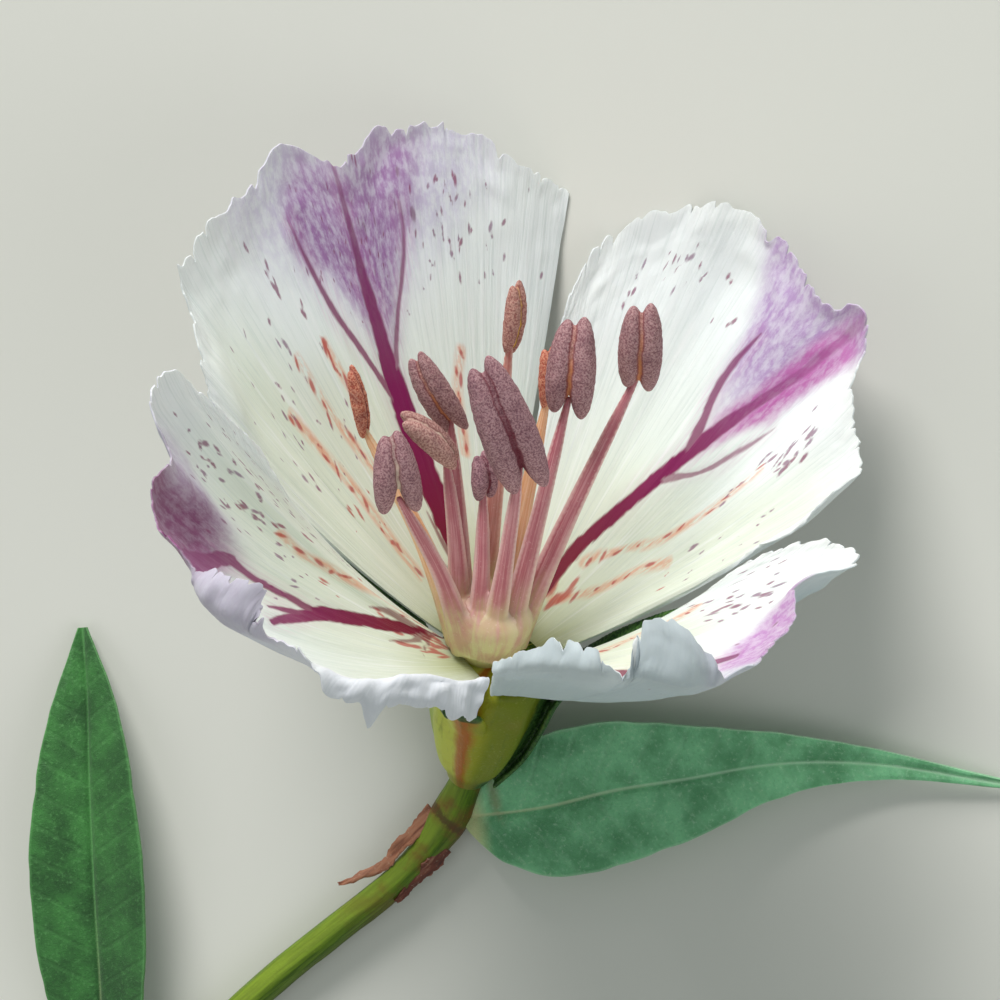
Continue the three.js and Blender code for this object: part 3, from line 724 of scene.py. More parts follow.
def buildPetal(name, petal):
    bpy.ops.object.select_all(action="DESELECT")
    bpy.ops.mesh.primitive_grid_add(x_subdivisions=petalBody["columns"], y_subdivisions=petalBody["rows"], size=1)
    piece = made(name)
    flat = readPoints(piece) + 0.5
    across, depth = np.clip(flat[:, 0], 0, 1), np.clip(flat[:, 1], 0, 1)
    along = depth * (1.35 - 0.35 * depth)
    keepUV(piece, np.column_stack([across, along]))
    points = petalSurface(petal, across, along)
    aside = petalSurface(petal, np.minimum(across + 0.002, 1), along) - petalSurface(
        petal, np.maximum(across - 0.002, 0), along)
    further = petalSurface(petal, across, np.minimum(along + 0.004, 1)) - petalSurface(
        petal, across, np.maximum(along - 0.004, 0))
    normal = unit(np.cross(aside, further))
    facing = np.sign((normal * (np.array([0, 0, 60]) - points)).sum(1).mean())
    points += normal * (facing * petalRelief(petal, across, along))[:, None]
    points = placed(points, flowerPlace)
    points[:, 2] = np.maximum(points[:, 2], petalBody["thickness"] / 2 + 0.02)
    writePoints(piece, points * mm)
    if facing < 0:
        selectOnly(piece)
        bpy.ops.object.mode_set(mode="EDIT")
        bpy.ops.mesh.select_all(action="SELECT")
        bpy.ops.mesh.flip_normals()
        bpy.ops.object.mode_set(mode="OBJECT")
    thin = piece.vertex_groups.new(name="thin")
    for share in range(11):
        rows = np.nonzero(np.round(ease(along, 1, 0.7) * 10).astype(int) == share)[0]
        thin.add(rows.tolist(), share / 10, "REPLACE")
    finishWith(
        piece, "SOLIDIFY", thickness=petalBody["thickness"] * mm, offset=0, vertex_group="thin",
        thickness_vertex_group=0.45, use_even_offset=False,
    )
    spots = laidFlat(petal, along, across)
    for field, values in (
        ("veins", veinField(petal, spots, along)), ("washes", washField(petal, across, along)),
        ("flecks", fleckField(petal, spots)),
    ):
        keep(piece, field, np.concatenate([values, values]))
    reach, width, curl = marginAt(petal, across)[2:]
    # painted shade: hems rolled under take part of the darker outer colour, and the outer face takes all of it
    hemShade = ease(-curl, 30, 90) * ease(along * reach, reach - width, reach - width + 0.8)
    keep(piece, "outside", np.concatenate([0.6 * hemShade, np.ones(len(along))]))
    smoothShaded(piece, 75)
    return piece


# Base colour, fibres, painted shade on the outer face, streaks, washes, flecks and veins, one over the other.
def petalMaterial(name, petal):
    material = newMaterial(
        name, Roughness=0.5, Subsurface_Weight=0.35, Subsurface_Radius=(1, 1, 0.9), Subsurface_Scale=0.0012,
        IOR=1.38, Sheen_Weight=0.08,
    )
    across, along = ownUV(material)
    span, seed = petal["span"], float(petal["seed"])
    outside = number(material, "outside")
    edge, dark, veinPlace = split(attribute(material, "veins"))
    firstWash, secondWash, cream = split(attribute(material, "washes"))
    streak, fleck, tint = split(attribute(material, "flecks"))

    grain = noise(combined(across * span * 1.6, along * 30, seed), 1.0, 4, 0.65)
    fibre = noise(combined(across * span * 1.3, along * 2.4, seed + 3), 1.0, 3, 0.55)
    fineFibre = noise(combined(across * span * 4.5, along * 6, seed + 6), 1.0, 2, 0.5)

    # white, cream towards the claw and bluish towards the margin
    colour = ramp(along, (0.0, srgb(180, 182, 128)), (0.1, srgb(206, 214, 178)), (0.24, srgb(222, 231, 214)),
                  (0.5, srgb(228, 238, 230)), (0.76, srgb(242, 249, 250)), (1.0, srgb(250, 254, 255)))
    colour = blend(cream, colour, srgb(222, 229, 210))
    colour = blend(smooth(fibre, 0.5, 0.72) * 0.4, colour, srgb(252, 254, 255))
    colour = blend(smooth(fineFibre, 0.52, 0.3) * 0.26, colour, srgb(184, 200, 196))
    # painted shade: the outer face and the rolled hems are darkened to the grey-blue outer colour
    colour = blend(outside * 0.9, colour, petal["outer"])

    softLine = smooth(streak + (grain - 0.5) * 0.5, 0.62, 0.08) * smooth(fibre + grain, 0.75, 1.15)
    colour = blend(softLine * (1 - outside * 0.7) * 0.75, colour, salmon)

    # washes are grained like watercolour
    mottled = smooth(grain * 0.75 + fineFibre * 0.15 + fibre * 0.1, 0.38, 0.62)
    mottled = mottled * petal["mottle"] + (1 - petal["mottle"])
    for wash, washColour in zip((secondWash, firstWash), reversed(petal["washColours"])):
        colour = blend(wash * mottled * (1 - outside * 0.4), colour, washColour)

    ragged = fleck + (grain - 0.5) * 1.1
    fleckColour = ramp(tint, (0, greyMauve), (0.5, magenta), (0.9, rust))
    colour = blend(smooth(ragged, 1.3, 0.5) * 0.8 * (1 - outside * 0.65), colour, fleckColour)

    veinColour = ramp(veinPlace, (0.2, crimson), (0.5, magenta), (0.9, srgb(124, 40, 104)))
    frayed = edge + (fineFibre - 0.5) * 0.24 + (grain - 0.5) * 0.14
    halo = smooth(frayed, 1.3, 0.0) * smooth(fineFibre, 0.3, 0.7) * dark * smooth(veinPlace, 0.2, 0.6)
    colour = blend(halo * 0.4 * (1 - outside * 0.5), colour, srgb(178, 92, 156))
    colour = blend(smooth(frayed, 0.14, -0.1) * dark * (1 - outside * 0.5), colour, veinColour)

    height = fibre * 0.5 + fineFibre * 0.35 + grain * 0.3 - smooth(edge, 0.5, -0.2) * 0.5
    connect(material, Base_Color=colour, Normal=bumped(height, 0.35, 0.0003), Roughness=0.42 + grain * 0.22)
    return material


for petalName, petal in petals.items():
    piece = buildPetal(petalName, petal)
    settle(piece, petalMaterial(petalName, petal), "petal", petal["node"])
print("petals ready")

# Stamens: the cushion and its ten filaments are one body, and the anthers sit on them

tuft = {
    "ring": 2.1, "rise": 6.0, "knee": 1.3, "inAnther": 0.2,
    "halfWidths": [(0, 1.2), (0.2, 0.92), (0.5, 0.68), (0.8, 0.52), (0.92, 0.36),
                   (1, 0.26)], "voxel": 0.15, "antherVoxel": 0.13,
    "cushion": [(0, 4.3), (1.7, 4.35), (2.3, 5.2), (2.9, 6.6), (3.3, 8.2), (3.1, 9.6), (2.2, 10.2), (0, 10.0)],
    "shift": (149, 90, 1.1),
    "grain": 0.05,
}

# foot is an azimuth on the ring, top and tip are (azimuth, lean, distance), turn rolls the
# anther about its length, spread parts the lobes below, tone goes from mauve (0) to tan (1)
# and seam marks what shows between the lobes.
stamens = [
    {"foot": 190, "top": (152, 27, 22), "tip": (141, 24.5, 28.5), "width": 3.3, "turn": 8, "spread": 0.24,
     "tone": 0.15,
     "seam": "pale", "rust": 0.1},
    {"foot": 150, "top": (113, 19, 22), "tip": (126, 25, 27.5), "width": 2.6, "turn": 60, "spread": 0.05, "tone": 0.75,
     "seam": "pale", "rust": 0.1},
    {"foot": 128, "top": (98, 23, 23.5), "tip": (107, 26.5, 30.5), "width": 2.7, "turn": -25, "spread": 0.08,
     "tone": 0.3,
     "seam": "orange", "rust": 0.05},
    {"foot": 215, "top": (100, 15, 18.5), "tip": (98, 16.5, 22.5), "width": 2.2, "turn": 40, "spread": 0.1,
     "tone": 0.0,
     "seam": "red", "rust": 0.0},
    {"foot": 246, "top": (62, 4.5, 21.5), "tip": (110, 13, 32.5), "width": 4.3, "turn": 5, "spread": 0.1, "tone": 0.1,
     "seam": "red", "rust": 0.0},
    {"foot": 282, "top": (40, 15.5, 26), "tip": (49, 19, 33.5), "width": 3.7, "turn": -5, "spread": 0.12, "tone": 0.2,
     "seam": "orange", "rust": 0.1},
    {"foot": 322, "top": (21, 26.5, 28.5), "tip": (29, 23, 35.5), "width": 3.5, "turn": 0, "spread": 0.04,
     "tone": 0.25,
     "seam": "orange", "rust": 0.1},
    {"foot": 75, "top": (74, 21, 29.5), "tip": (73, 21, 35.5), "width": 2.0, "turn": 55, "spread": 0.0, "tone": 0.8,
     "seam": "yellow", "rust": 0.35},
    {"foot": 165, "top": (120, 37, 24.5), "tip": (117, 35, 30.5), "width": 1.7, "turn": 70, "spread": 0.0, "tone": 1.0,
     "seam": "red", "rust": 0.6},
    {"foot": 30, "top": (52, 27, 24), "tip": (56, 27.5, 29), "width": 1.8, "turn": 30, "spread": 0.0, "tone": 0.8,
     "seam": "orange", "rust": 0.6},
]
seamKinds = {"pale": 0.0, "yellow": 0.34, "orange": 0.67, "red": 1.0}
towardsCamera = np.array(flowerPlace.to_3x3().inverted() @ cameraBack)


def filamentPath(stamen):
    foot = directed(stamen["foot"], 90, tuft["ring"]) + directed(*tuft["shift"]) + [0, 0, tuft["rise"]]
    top, tip = directed(*stamen["top"]), directed(*stamen["tip"])
    end = top + (tip - top) * tuft["inAnther"]
    knee = foot + (end - foot) * 0.4 + [0, 0, tuft["knee"]]
    return Path([foot, knee, end])


# A cylinder bent along a path, its half width across and deep given along the way.
def bentRod(path, widthAt, depthAt, sides, steps, front):
    bpy.ops.object.select_all(action="DESELECT")
    bpy.ops.mesh.primitive_cylinder_add(vertices=sides, radius=1, depth=1)
    piece = made("rod")
    bpy.ops.object.mode_set(mode="EDIT")
    for step in range(1, steps):
        height = step / steps - 0.5
        bpy.ops.mesh.select_all(action="SELECT")
        bpy.ops.mesh.bisect(plane_co=(0, 0, height), plane_no=(0, 0, 1))
    bpy.ops.object.mode_set(mode="OBJECT")
    straight = readPoints(piece)
    share = np.clip(straight[:, 2] + 0.5, 0, 1)
    tangent = path.tangent(share)
    across = unit(np.cross(tangent, front))
    deep = np.cross(across, tangent)
    points = path.along(share) + across * (straight[:, 0] * widthAt(share))[:, None]
    writePoints(piece, points + deep * (straight[:, 1] * depthAt(share))[:, None])
    return piece


def turnedBody(profile, sides, rows):
    bpy.ops.object.select_all(action="DESELECT")
    bpy.ops.mesh.primitive_uv_sphere_add(segments=sides, ring_count=rows, radius=1)
    piece = made("turned")
    ball = readPoints(piece)
    share = np.arccos(np.clip(-ball[:, 2], -1, 1)) / np.pi
    outline = Path([(radius, height, 0) for radius, height in profile]).along(share)
    turn = np.arctan2(ball[:, 1], ball[:, 0])
    radius = np.maximum(outline[:, 0], 0)
    writePoints(piece, np.column_stack([radius * np.cos(turn), radius * np.sin(turn), outline[:, 1]]))
    return piece


def buildFilaments():
    bodies = [turnedBody(tuft["cushion"], 48, 32)]
    writePoints(bodies[0], readPoints(bodies[0]) + directed(*tuft["shift"]))
    widthAt = lambda share: np.interp(share, *zip(*tuft["halfWidths"])) * 1.04
    depthAt = lambda share: np.interp(share, *zip(*tuft["halfWidths"])) * 0.84
    for stamen in stamens:
        bodies.append(bentRod(filamentPath(stamen), widthAt, depthAt, 16, 22, towardsCamera))
    piece = joinAll(bodies, "filaments")
    finishWith(piece, "REMESH", mode="VOXEL", voxel_size=tuft["voxel"])
    finishWith(piece, "SMOOTH", factor=0.5, iterations=4)
    points = readPoints(piece)
    nearest, best = np.zeros(len(points)), np.full(len(points), 1e9)
    share, turn = np.zeros(len(points)), np.zeros(len(points))
    for k, stamen in enumerate(stamens):
        path = filamentPath(stamen)
        steps = np.linspace(0, 1, 40)
        spine = path.along(steps)
        gaps = np.linalg.norm(points[:, None] - spine[None], axis=2)
        closest = gaps.argmin(1)
        gap = gaps.min(1)
        ahead = path.tangent(steps)[closest]
        # aside measures across the filament as seen from the camera; it places the stripes and the painted sheen on
        # the sides
        across = unit(np.cross(ahead, towardsCamera))
        aside = ((points - spine[closest]) * across).sum(1) / np.maximum(gap, 0.2)
        closer = gap < best
        best[closer], nearest[closer] = gap[closer], k
        share[closer], turn[closer] = steps[closest][closer], aside[closer]
    keep(piece, "strand", np.column_stack([nearest, share, turn]))
    keep(piece, "rise", points[:, 2])
    keep(piece, "rosy", np.array([stamen["rust"] for stamen in stamens])[nearest.astype(int)])
    writePoints(piece, placed(points, flowerPlace) * mm)
    smoothShaded(piece)
    return piece


def filamentMaterial():
    material = newMaterial(
        "filamentSkin", Roughness=0.45, Subsurface_Weight=0.3, Subsurface_Radius=(1, 0.6, 0.5),
        Subsurface_Scale=0.0008, IOR=1.4,
    )
    strand, share, aside = split(attribute(material, "strand"))
    rise, rosy = number(material, "rise"), number(material, "rosy")
    point = objectPoint(material)
    patch = noise(point, 0.5, 3)
    fine = noise(point, 5.0, 2)
    stripes = noise(combined(aside * 3.2, rise * 0.12, strand * 5.0), 1.0, 3, 0.6)
    rose = blend(smooth(stripes, 0.35, 0.7), srgb(176, 94, 108), srgb(208, 152, 158))
    rose = blend(smooth(patch, 0.4, 0.7) * 0.35, rose, srgb(164, 78, 96))
    # painted sheen: the filaments' sides, as seen from the camera, are paler pink
    edge = smooth(abs(aside), 0.55, 1.0)
    rose = blend(edge * 0.65, rose, srgb(238, 214, 208))
    orange = blend(smooth(stripes, 0.3, 0.7), srgb(218, 156, 108), srgb(240, 204, 170))
    rose = blend(smooth(rosy, 0.2, 0.6), rose, orange)
    cup = blend(smooth(stripes * 0.5 + patch * 0.5, 0.42, 0.6) * 0.7, srgb(204, 196, 148), srgb(190, 142, 128))
    cup = blend(smooth(rise, 7.0, 4.8) * 0.7, cup, srgb(158, 156, 92))
    level = rise + (stripes - 0.5) * 4 + (patch - 0.5) * 2
    colour = blend(smooth(level, 7.2, 13.0), cup, rose)
    colour = blend(smooth(fine, 0.6, 0.8) * 0.2, colour, srgb(250, 236, 226))
    relief = bumped(stripes * 0.7 + fine * 0.3, 0.35, 0.0002)
    connect(material, Base_Color=colour, Normal=relief)
    return material


# One lobe pair, modelled about the origin with its length along y and its front towards +z.
def buildAnther(name, stamen):
    top, tip = directed(*stamen["top"]), directed(*stamen["tip"])
    up = tip - top
    half, width = np.linalg.norm(up) / 2, stamen["width"]
    lobes = []
    for side in (-1, 1):
        bpy.ops.object.select_all(action="DESELECT")
        bpy.ops.mesh.primitive_uv_sphere_add(segments=28, ring_count=40, radius=1, rotation=(math.pi / 2, 0, 0))
        bpy.ops.object.transform_apply(rotation=True)
        lobe = made("lobe")
        ball = readPoints(lobe)
        along = ball[:, 1]
        sideways = ball[:, 0] * 0.29 * width
        deep = ball[:, 2] * 0.34 * width
        offset = side * width * (0.2 + stamen["spread"] * (0.5 - along) * 0.5)
        length = half * (1 + 0.04 * side)
        arch = 0.12 * width * (1 - along**2)
        writePoints(lobe, np.column_stack([sideways + offset, along * length, deep + arch]))
        lobes.append(lobe)
    piece = joinAll(lobes, name)
    finishWith(piece, "REMESH", mode="VOXEL", voxel_size=tuft["antherVoxel"])
    finishWith(piece, "SMOOTH", factor=0.5, iterations=2)
    local = readPoints(piece)
    seed = len(name) + int(width * 100)
    pebbles = softNoise(local[:, 0] / 0.32 + 20, local[:, 1] / 0.32 + 30, seed) - 0.5
    pebbles += softNoise(local[:, 2] / 0.35 + 20, local[:, 1] / 0.3 + 30, seed + 1) - 0.5
    outward = unit(local * [1, 0.2, 1] + 1e-6)
    local += outward * (pebbles * tuft["grain"])[:, None]
    keep(piece, "lobe", np.column_stack([local[:, 0] / width, local[:, 1] / (2 * half), local[:, 2] / width]))
    keep(piece, "tone", np.full(len(local), stamen["tone"]))
    keep(piece, "seam", np.full(len(local), seamKinds[stamen["seam"]]))
    keep(piece, "rust", np.full(len(local), stamen["rust"]))
    up = Vector(up).normalized()
    front = Vector(towardsCamera) - up * up.dot(Vector(towardsCamera))
    front = Matrix.Rotation(math.radians(stamen["turn"]), 3, up) @ front.normalized()
    across = up.cross(front)
    place = Matrix((across, up, front)).transposed().to_4x4()
    place.translation = (top + tip) / 2
    writePoints(piece, placed(local, flowerPlace @ place) * mm)
    smoothShaded(piece)
    return piece


def antherMaterial():
    material = newMaterial(
        "pollenSkin", Roughness=0.75, Subsurface_Weight=0.1, Subsurface_Radius=(1, 0.5, 0.5),
        Subsurface_Scale=0.0004, IOR=1.35,
    )
    lobe = attribute(material, "lobe")
    across, along, front = split(lobe)
    tone, seam, rust = number(material, "tone"), number(material, "seam"), number(material, "rust")
    point = objectPoint(material)
    grain = noise(point, 6.5, 3, 0.6)
    fine = noise(point, 14.0, 2, 0.6)
    patch = noise(point, 0.8, 2)
    mauve = blend(smooth(grain, 0.36, 0.62), srgb(122, 80, 94), srgb(178, 138, 146))
    tan = blend(smooth(grain, 0.36, 0.62), srgb(162, 110, 102), srgb(214, 172, 158))
    colour = blend(tone, mauve, tan)
    rusty = blend(smooth(grain, 0.4, 0.6), srgb(182, 84, 62), srgb(226, 156, 128))
    colour = blend(smooth(rust, 0.2, 0.7), colour, rusty)
    colour = blend(smooth(patch, 0.5, 0.75) * 0.35, colour, srgb(96, 48, 70))
    colour = blend(smooth(fine, 0.58, 0.75) * 0.4, colour, srgb(214, 190, 190))
    # what shows between the lobes
    wavy = noise(combined(along * 7, seam * 3 + tone * 11), 1.0, 2) - 0.5
    middle = abs(across + wavy * 0.14)
    lower = smooth(along + wavy, 0.35, -0.2) * 0.75 + 0.25
    between = smooth(middle, 0.085, 0.02) * smooth(front, -0.02, 0.1) * lower
    seamColour = ramp(seam, (0, srgb(226, 204, 186)), (0.34, srgb(236, 190, 70)), (0.67, srgb(206, 132, 84)),
                      (1, srgb(104, 12, 40)))
    colour = blend(between * 0.85, colour, seamColour)
    line = smooth(abs(middle - 0.05), 0.03, 0.0) * smooth(front, 0, 0.1)
    colour = blend(line * 0.6, colour, srgb(110, 22, 44))
    connect(material, Base_Color=colour, Normal=bumped(grain * 0.7 + fine * 0.3, 0.55, 0.0002))
    return material


filaments = buildFilaments()
settle(filaments, filamentMaterial(), "stamen", "stamens")
pollenSkin = antherMaterial()
for k, stamen in enumerate(stamens, 1):
    settle(buildAnther("anther%d" % k, stamen), pollenSkin, "stamen", "stamens")
print("stamens ready")


# Pistil: a short style with four shut lobes, deep among the filaments

pistil = {"foot": 9.0, "head": (52, 3, 10.6), "style": 0.36, "lobe": 0.4, "voxel": 0.08}


def buildPistil():
    head = directed(*pistil["head"])
    steady = lambda share: pistil["style"] + 0 * share
    bodies = [bentRod(Path([(0, 0, pistil["foot"]), head]), steady, steady, 20, 8, towardsCamera)]
    for turn in (0, 90, 180, 270):
        bpy.ops.object.select_all(action="DESELECT")
        bpy.ops.mesh.primitive_uv_sphere_add(
            segments=20, ring_count=14, radius=pistil["lobe"],
            location=head + directed(turn, 90, 0.5 * pistil["lobe"]),
        )
        bpy.ops.object.transform_apply(location=True)
        lobe = made("lobe")
        points = readPoints(lobe)
        points[:, 2] = head[2] + (points[:, 2] - head[2]) * 1.8
        writePoints(lobe, points)
        bodies.append(lobe)
    piece = joinAll(bodies, "pistilBody")
    finishWith(piece, "REMESH", mode="VOXEL", voxel_size=pistil["voxel"])
    finishWith(piece, "SMOOTH", factor=0.5, iterations=3)
    writePoints(piece, placed(readPoints(piece), flowerPlace) * mm)
    smoothShaded(piece)
    return piece


def pistilMaterial():
    material = newMaterial("pistilSkin", Roughness=0.5, Subsurface_Weight=0.3, Subsurface_Scale=0.0006)
    point = objectPoint(material)
    cells = noise(point, 4.0, 3)
    colour = blend(smooth(cells, 0.3, 0.7), srgb(228, 218, 168), srgb(246, 242, 216))
    connect(material, Base_Color=colour, Normal=bumped(cells, 0.4, 0.0001))
    return material


settle(buildPistil(), pistilMaterial(), "pistil", "pistil")
print("pistil ready")


# Calyx: a ribbed funnel that carries four sepals under the seams between the petals

calyx = {
    "profile": [(0, -10.6), (1.6, -10.4), (2.0, -9.4), (2.9, -7.6), (3.7, -5.2), (4.3, -2.4), (4.6, 0.6), (4.7, 3.3),
                (4.4, 3.9), (0, 3.9)],
    "ribs": 0.06, "thickness": 0.5, "hollow": 0.4, "outline": [0.8, 1.0, 1.06, 1.0, 0.78, 0.2],
}
sepals = [
    {"azimuth": 45, "width": 4.4, "green": 0.25, "path": [(3.9, -1.6), (6.4, 3.2), (9.6, 6.3), (14, 10.1), (17.5, 12.8)]},
    {"azimuth": 139, "width": 4.2, "green": 0.25, "path": [(3.9, -1.6), (6.4, 3.3), (9.4, 6.0), (13.4, 9.1), (16, 10.8)]},
    {"azimuth": 215, "width": 3.6, "green": 0.6, "path": [(3.9, -1.6), (5.9, 2.2), (8.2, 5.1), (11, 7.5)]},
    {"azimuth": 321, "width": 4.2, "green": 0, "path": [(2.5, -9.6), (4.2, -5.6), (5.0, -2), (5.9, 2.4), (8.4, 6.4),
                                                        (12.4, 10.9), (17.6, 15.6)]},
]


# A sheet of even thickness over a grid; pointAt takes arrays from 0 to 1 across and along.
def buildBlade(name, columns, rows, pointAt, thickness):
    bpy.ops.object.select_all(action="DESELECT")
    bpy.ops.mesh.primitive_grid_add(x_subdivisions=columns, y_subdivisions=rows, size=1)
    piece = made(name)
    flat = np.clip(readPoints(piece) + 0.5, 0, 1)
    across, along = flat[:, 0], flat[:, 1]
    keepUV(piece, flat[:, :2])
    writePoints(piece, pointAt(across, along))
    group = piece.vertex_groups.new(name="thin")
    near = np.minimum(np.minimum(across, 1 - across) * 8, (1 - along) * 14)
    for share in range(9):
        chosen = np.nonzero(np.round(np.clip(near, 0, 1) * 8).astype(int) == share)[0]
        group.add(chosen.tolist(), share / 8, "REPLACE")
    finishWith(piece, "SOLIDIFY", thickness=thickness, offset=0, vertex_group="thin", thickness_vertex_group=0.5)
    return piece


def outlined(values):
    path = Path([(k, value, 0) for k, value in enumerate(values)])
    return lambda share: path.at(share)[:, 1]


def sepalLine(sepal):
    return Path([directed(sepal["azimuth"], 90, out) + [0, 0, up] for out, up in sepal["path"]])


def buildSepal(sepal):
    side = directed(sepal["azimuth"] + 90, 90, 1)
    midline = sepalLine(sepal)
    outline = outlined(calyx["outline"])

    def pointAt(across, along):
        v = 2 * across - 1
        inward = np.cross(midline.tangent(along), side)
        points = midline.along(along) + side * (v * outline(along) * sepal["width"] / 2)[:, None]
        keel = calyx["hollow"] * v**2 - 0.12 * np.exp(-((v / 0.16) ** 2))
        return points + inward * keel[:, None]

    return buildBlade("sepal", 28, 60, pointAt, calyx["thickness"])


def buildCalyx():
    funnel = turnedBody(calyx["profile"], 96, 64)
    points = readPoints(funnel)
    turn = np.arctan2(points[:, 1], points[:, 0])
    rib = 1 + calyx["ribs"] * np.cos(8 * turn) * ease(points[:, 2], -10.4, -7) * ease(points[:, 2], 4.2, 1)
    writePoints(funnel, points * np.column_stack([rib, rib, 0 * rib + 1]))
    piece = joinAll([funnel, *map(buildSepal, sepals)], "calyxBody")
    finishWith(piece, "REMESH", mode="VOXEL", voxel_size=0.16)
    finishWith(piece, "SMOOTH", factor=0.5, iterations=3)
    points = readPoints(piece)
    turn = np.degrees(np.arctan2(points[:, 1], points[:, 0])) % 360
    keep(piece, "round", np.column_stack([turn / 360, points[:, 2], 0 * turn]))
    green = np.full(len(points), 9.0)
    for sepal in sepals:
        line = sepalLine(sepal).along(np.linspace(sepal["green"], 1, 30))
        green = np.minimum(green, toLine(points, line)[0] / sepal["width"] * 2)
    keep(piece, "sepal", green)
    writePoints(piece, placed(points, flowerPlace) * mm)
    smoothShaded(piece)
    return piece


def calyxMaterial():
    material = newMaterial(
        "calyxSkin", Roughness=0.42, Specular_IOR_Level=0.3, Subsurface_Weight=0.2,
        Subsurface_Radius=(0.6, 1, 0.3), Subsurface_Scale=0.0008,
    )
    turn, height = split(attribute(material, "round"))[:2]
    sepal = number(material, "sepal")
    point = objectPoint(material)
    patch, fine = noise(point, 0.35, 4, 0.6), noise(point, 4.0, 3)
    streaks = noise(combined(turn * 60, height * 0.3), 1.0, 3, 0.6)
    # painted light and shade: bright yellow-green on the lit left, olive on the shaded right, and the calyx's own
    # orange-brown streak in the middle
    shifted = turn + (patch - 0.5) * 0.04 + (streaks - 0.5) * 0.02
    colour = ramp(shifted, (0.0, srgb(82, 108, 34)), (0.36, srgb(156, 188, 66)), (0.46, srgb(218, 230, 108)),
                  (0.56, srgb(222, 224, 96)), (0.585, srgb(200, 122, 44)), (0.61, srgb(190, 104, 34)),
                  (0.635, srgb(168, 166, 34)), (0.68, srgb(132, 142, 20)), (0.8, srgb(112, 126, 14)), (1.0, srgb(76, 108, 22)))
    colour = blend(smooth(patch, 0.48, 0.75) * 0.35, colour, srgb(148, 136, 56))
    colour = blend(smooth(streaks, 0.55, 0.75) * 0.4, colour, srgb(96, 118, 38))
    colour = blend(smooth(fine, 0.6, 0.75) * 0.3, colour, srgb(214, 214, 130))
    colour = blend(smooth(height + (streaks - 0.5) * 3, -7.4, -9.8) * 0.6, colour, srgb(112, 106, 44))
    # the sepals' dark green is partly their own colour and partly painted shade
    green = blend(smooth(fine, 0.4, 0.65), srgb(34, 66, 28), srgb(72, 108, 50))
    green = blend(smooth(streaks, 0.5, 0.7) * 0.4, green, srgb(96, 134, 62))
    sepalGreenAndShade = smooth(sepal + (patch - 0.5) * 0.5, 1.35, 1.0)
    colour = blend(sepalGreenAndShade, colour, green)
    connect(material, Base_Color=colour, Normal=bumped(streaks * 0.6 + fine * 0.4, 0.4, 0.0003))
    return material


settle(buildCalyx(), calyxMaterial(), "calyx", "calyx")
print("calyx ready")


# Stem: jointed, with faint ridges, and two dry strips that peel off below the upper node

stem = {
    "radius": 1.25, "nodes": (0, -40.5, -77), "swell": 0.42, "nodeLength": 2.4, "slant": 0.7, "ridge": 0.05,
    "path": [(-1.1, 3.7, 2.95), (-0.5, 1.9, 2.1), (0.1, 0, 1.6), (0.7, -3, 1.5), (0.9, -7.5, 1.5), (0.4, -13, 1.5),
             (-0.2, -20, 1.5), (-0.5, -30, 1.5), (-0.6, -40.5, 1.5), (-1.5, -58, 1.5), (-2.2, -76, 1.5),
             (-1.8, -94, 1.5)],
}
strips = {
    "stripLeft": {
        "path": [(-1.3, -0.5, 2.2), (-0.85, -3.6, 2.1), (-0.8, -6.8, 2.1), (-2.0, -10.6, 2.3)],
        "width": 1.25, "lean": 28, "seed": 11, "dark": False,
    },
    "stripRight": {
        "path": [(1.7, -2.0, 2.1), (1.95, -4.9, 1.95), (1.95, -8.2, 1.9)], "width": 1.6, "lean": -42, "seed": 12, "dark": True,
    },
}
stripBody = {"thickness": 0.22, "outline": [1.0, 1.0, 0.85, 0.6, 0.2]}


def stemRadiusAt(y):
    swell = sum(np.exp(-(((y - node) / stem["nodeLength"]) ** 2)) for node in stem["nodes"])
    return stem["radius"] + stem["swell"] * swell


def buildStem():
    path = Path(stem["path"])
    radiusAt = lambda share: stemRadiusAt(path.along(share)[:, 1])
    piece = bentRod(path, radiusAt, radiusAt, 48, 230, np.array([0, 0, 1.0]))
    piece.name = piece.data.name = "stalk"
    points = readPoints(piece)
    top, bottom, bottomAside = stem["path"][0][1], stem["path"][-1][1], stem["path"][-1][0]
    share = np.clip((top - points[:, 1]) / (top - bottom), 0, 1)
    middle = np.column_stack([np.interp(points[:, 1], *np.array(path.along(np.linspace(1, 0, 200))).T[[1, k]])
                              for k in (0, 1, 2)])
    outward = points - middle
    turn = np.arctan2(outward[:, 2], outward[:, 0])
    ridge = stem["ridge"] * (np.cos(5 * turn) + softNoise(turn * 3 + 20, share * 60, 7) - 0.5)
    points += unit(outward * [1, 0, 1] + 1e-9) * (ridge * (np.linalg.norm(outward, axis=1) > 0.5))[:, None]
    cut = points[:, 1] < bottom + 1
    points[cut, 1] -= stem["slant"] * (points[cut, 0] - bottomAside)
    points[:, 2] = np.maximum(points[:, 2], 0)
    keep(piece, "course", np.column_stack([turn / (2 * np.pi) + 0.5, points[:, 1], np.linalg.norm(outward, axis=1)]))
    writePoints(piece, points * mm)
    smoothShaded(piece)
    return piece


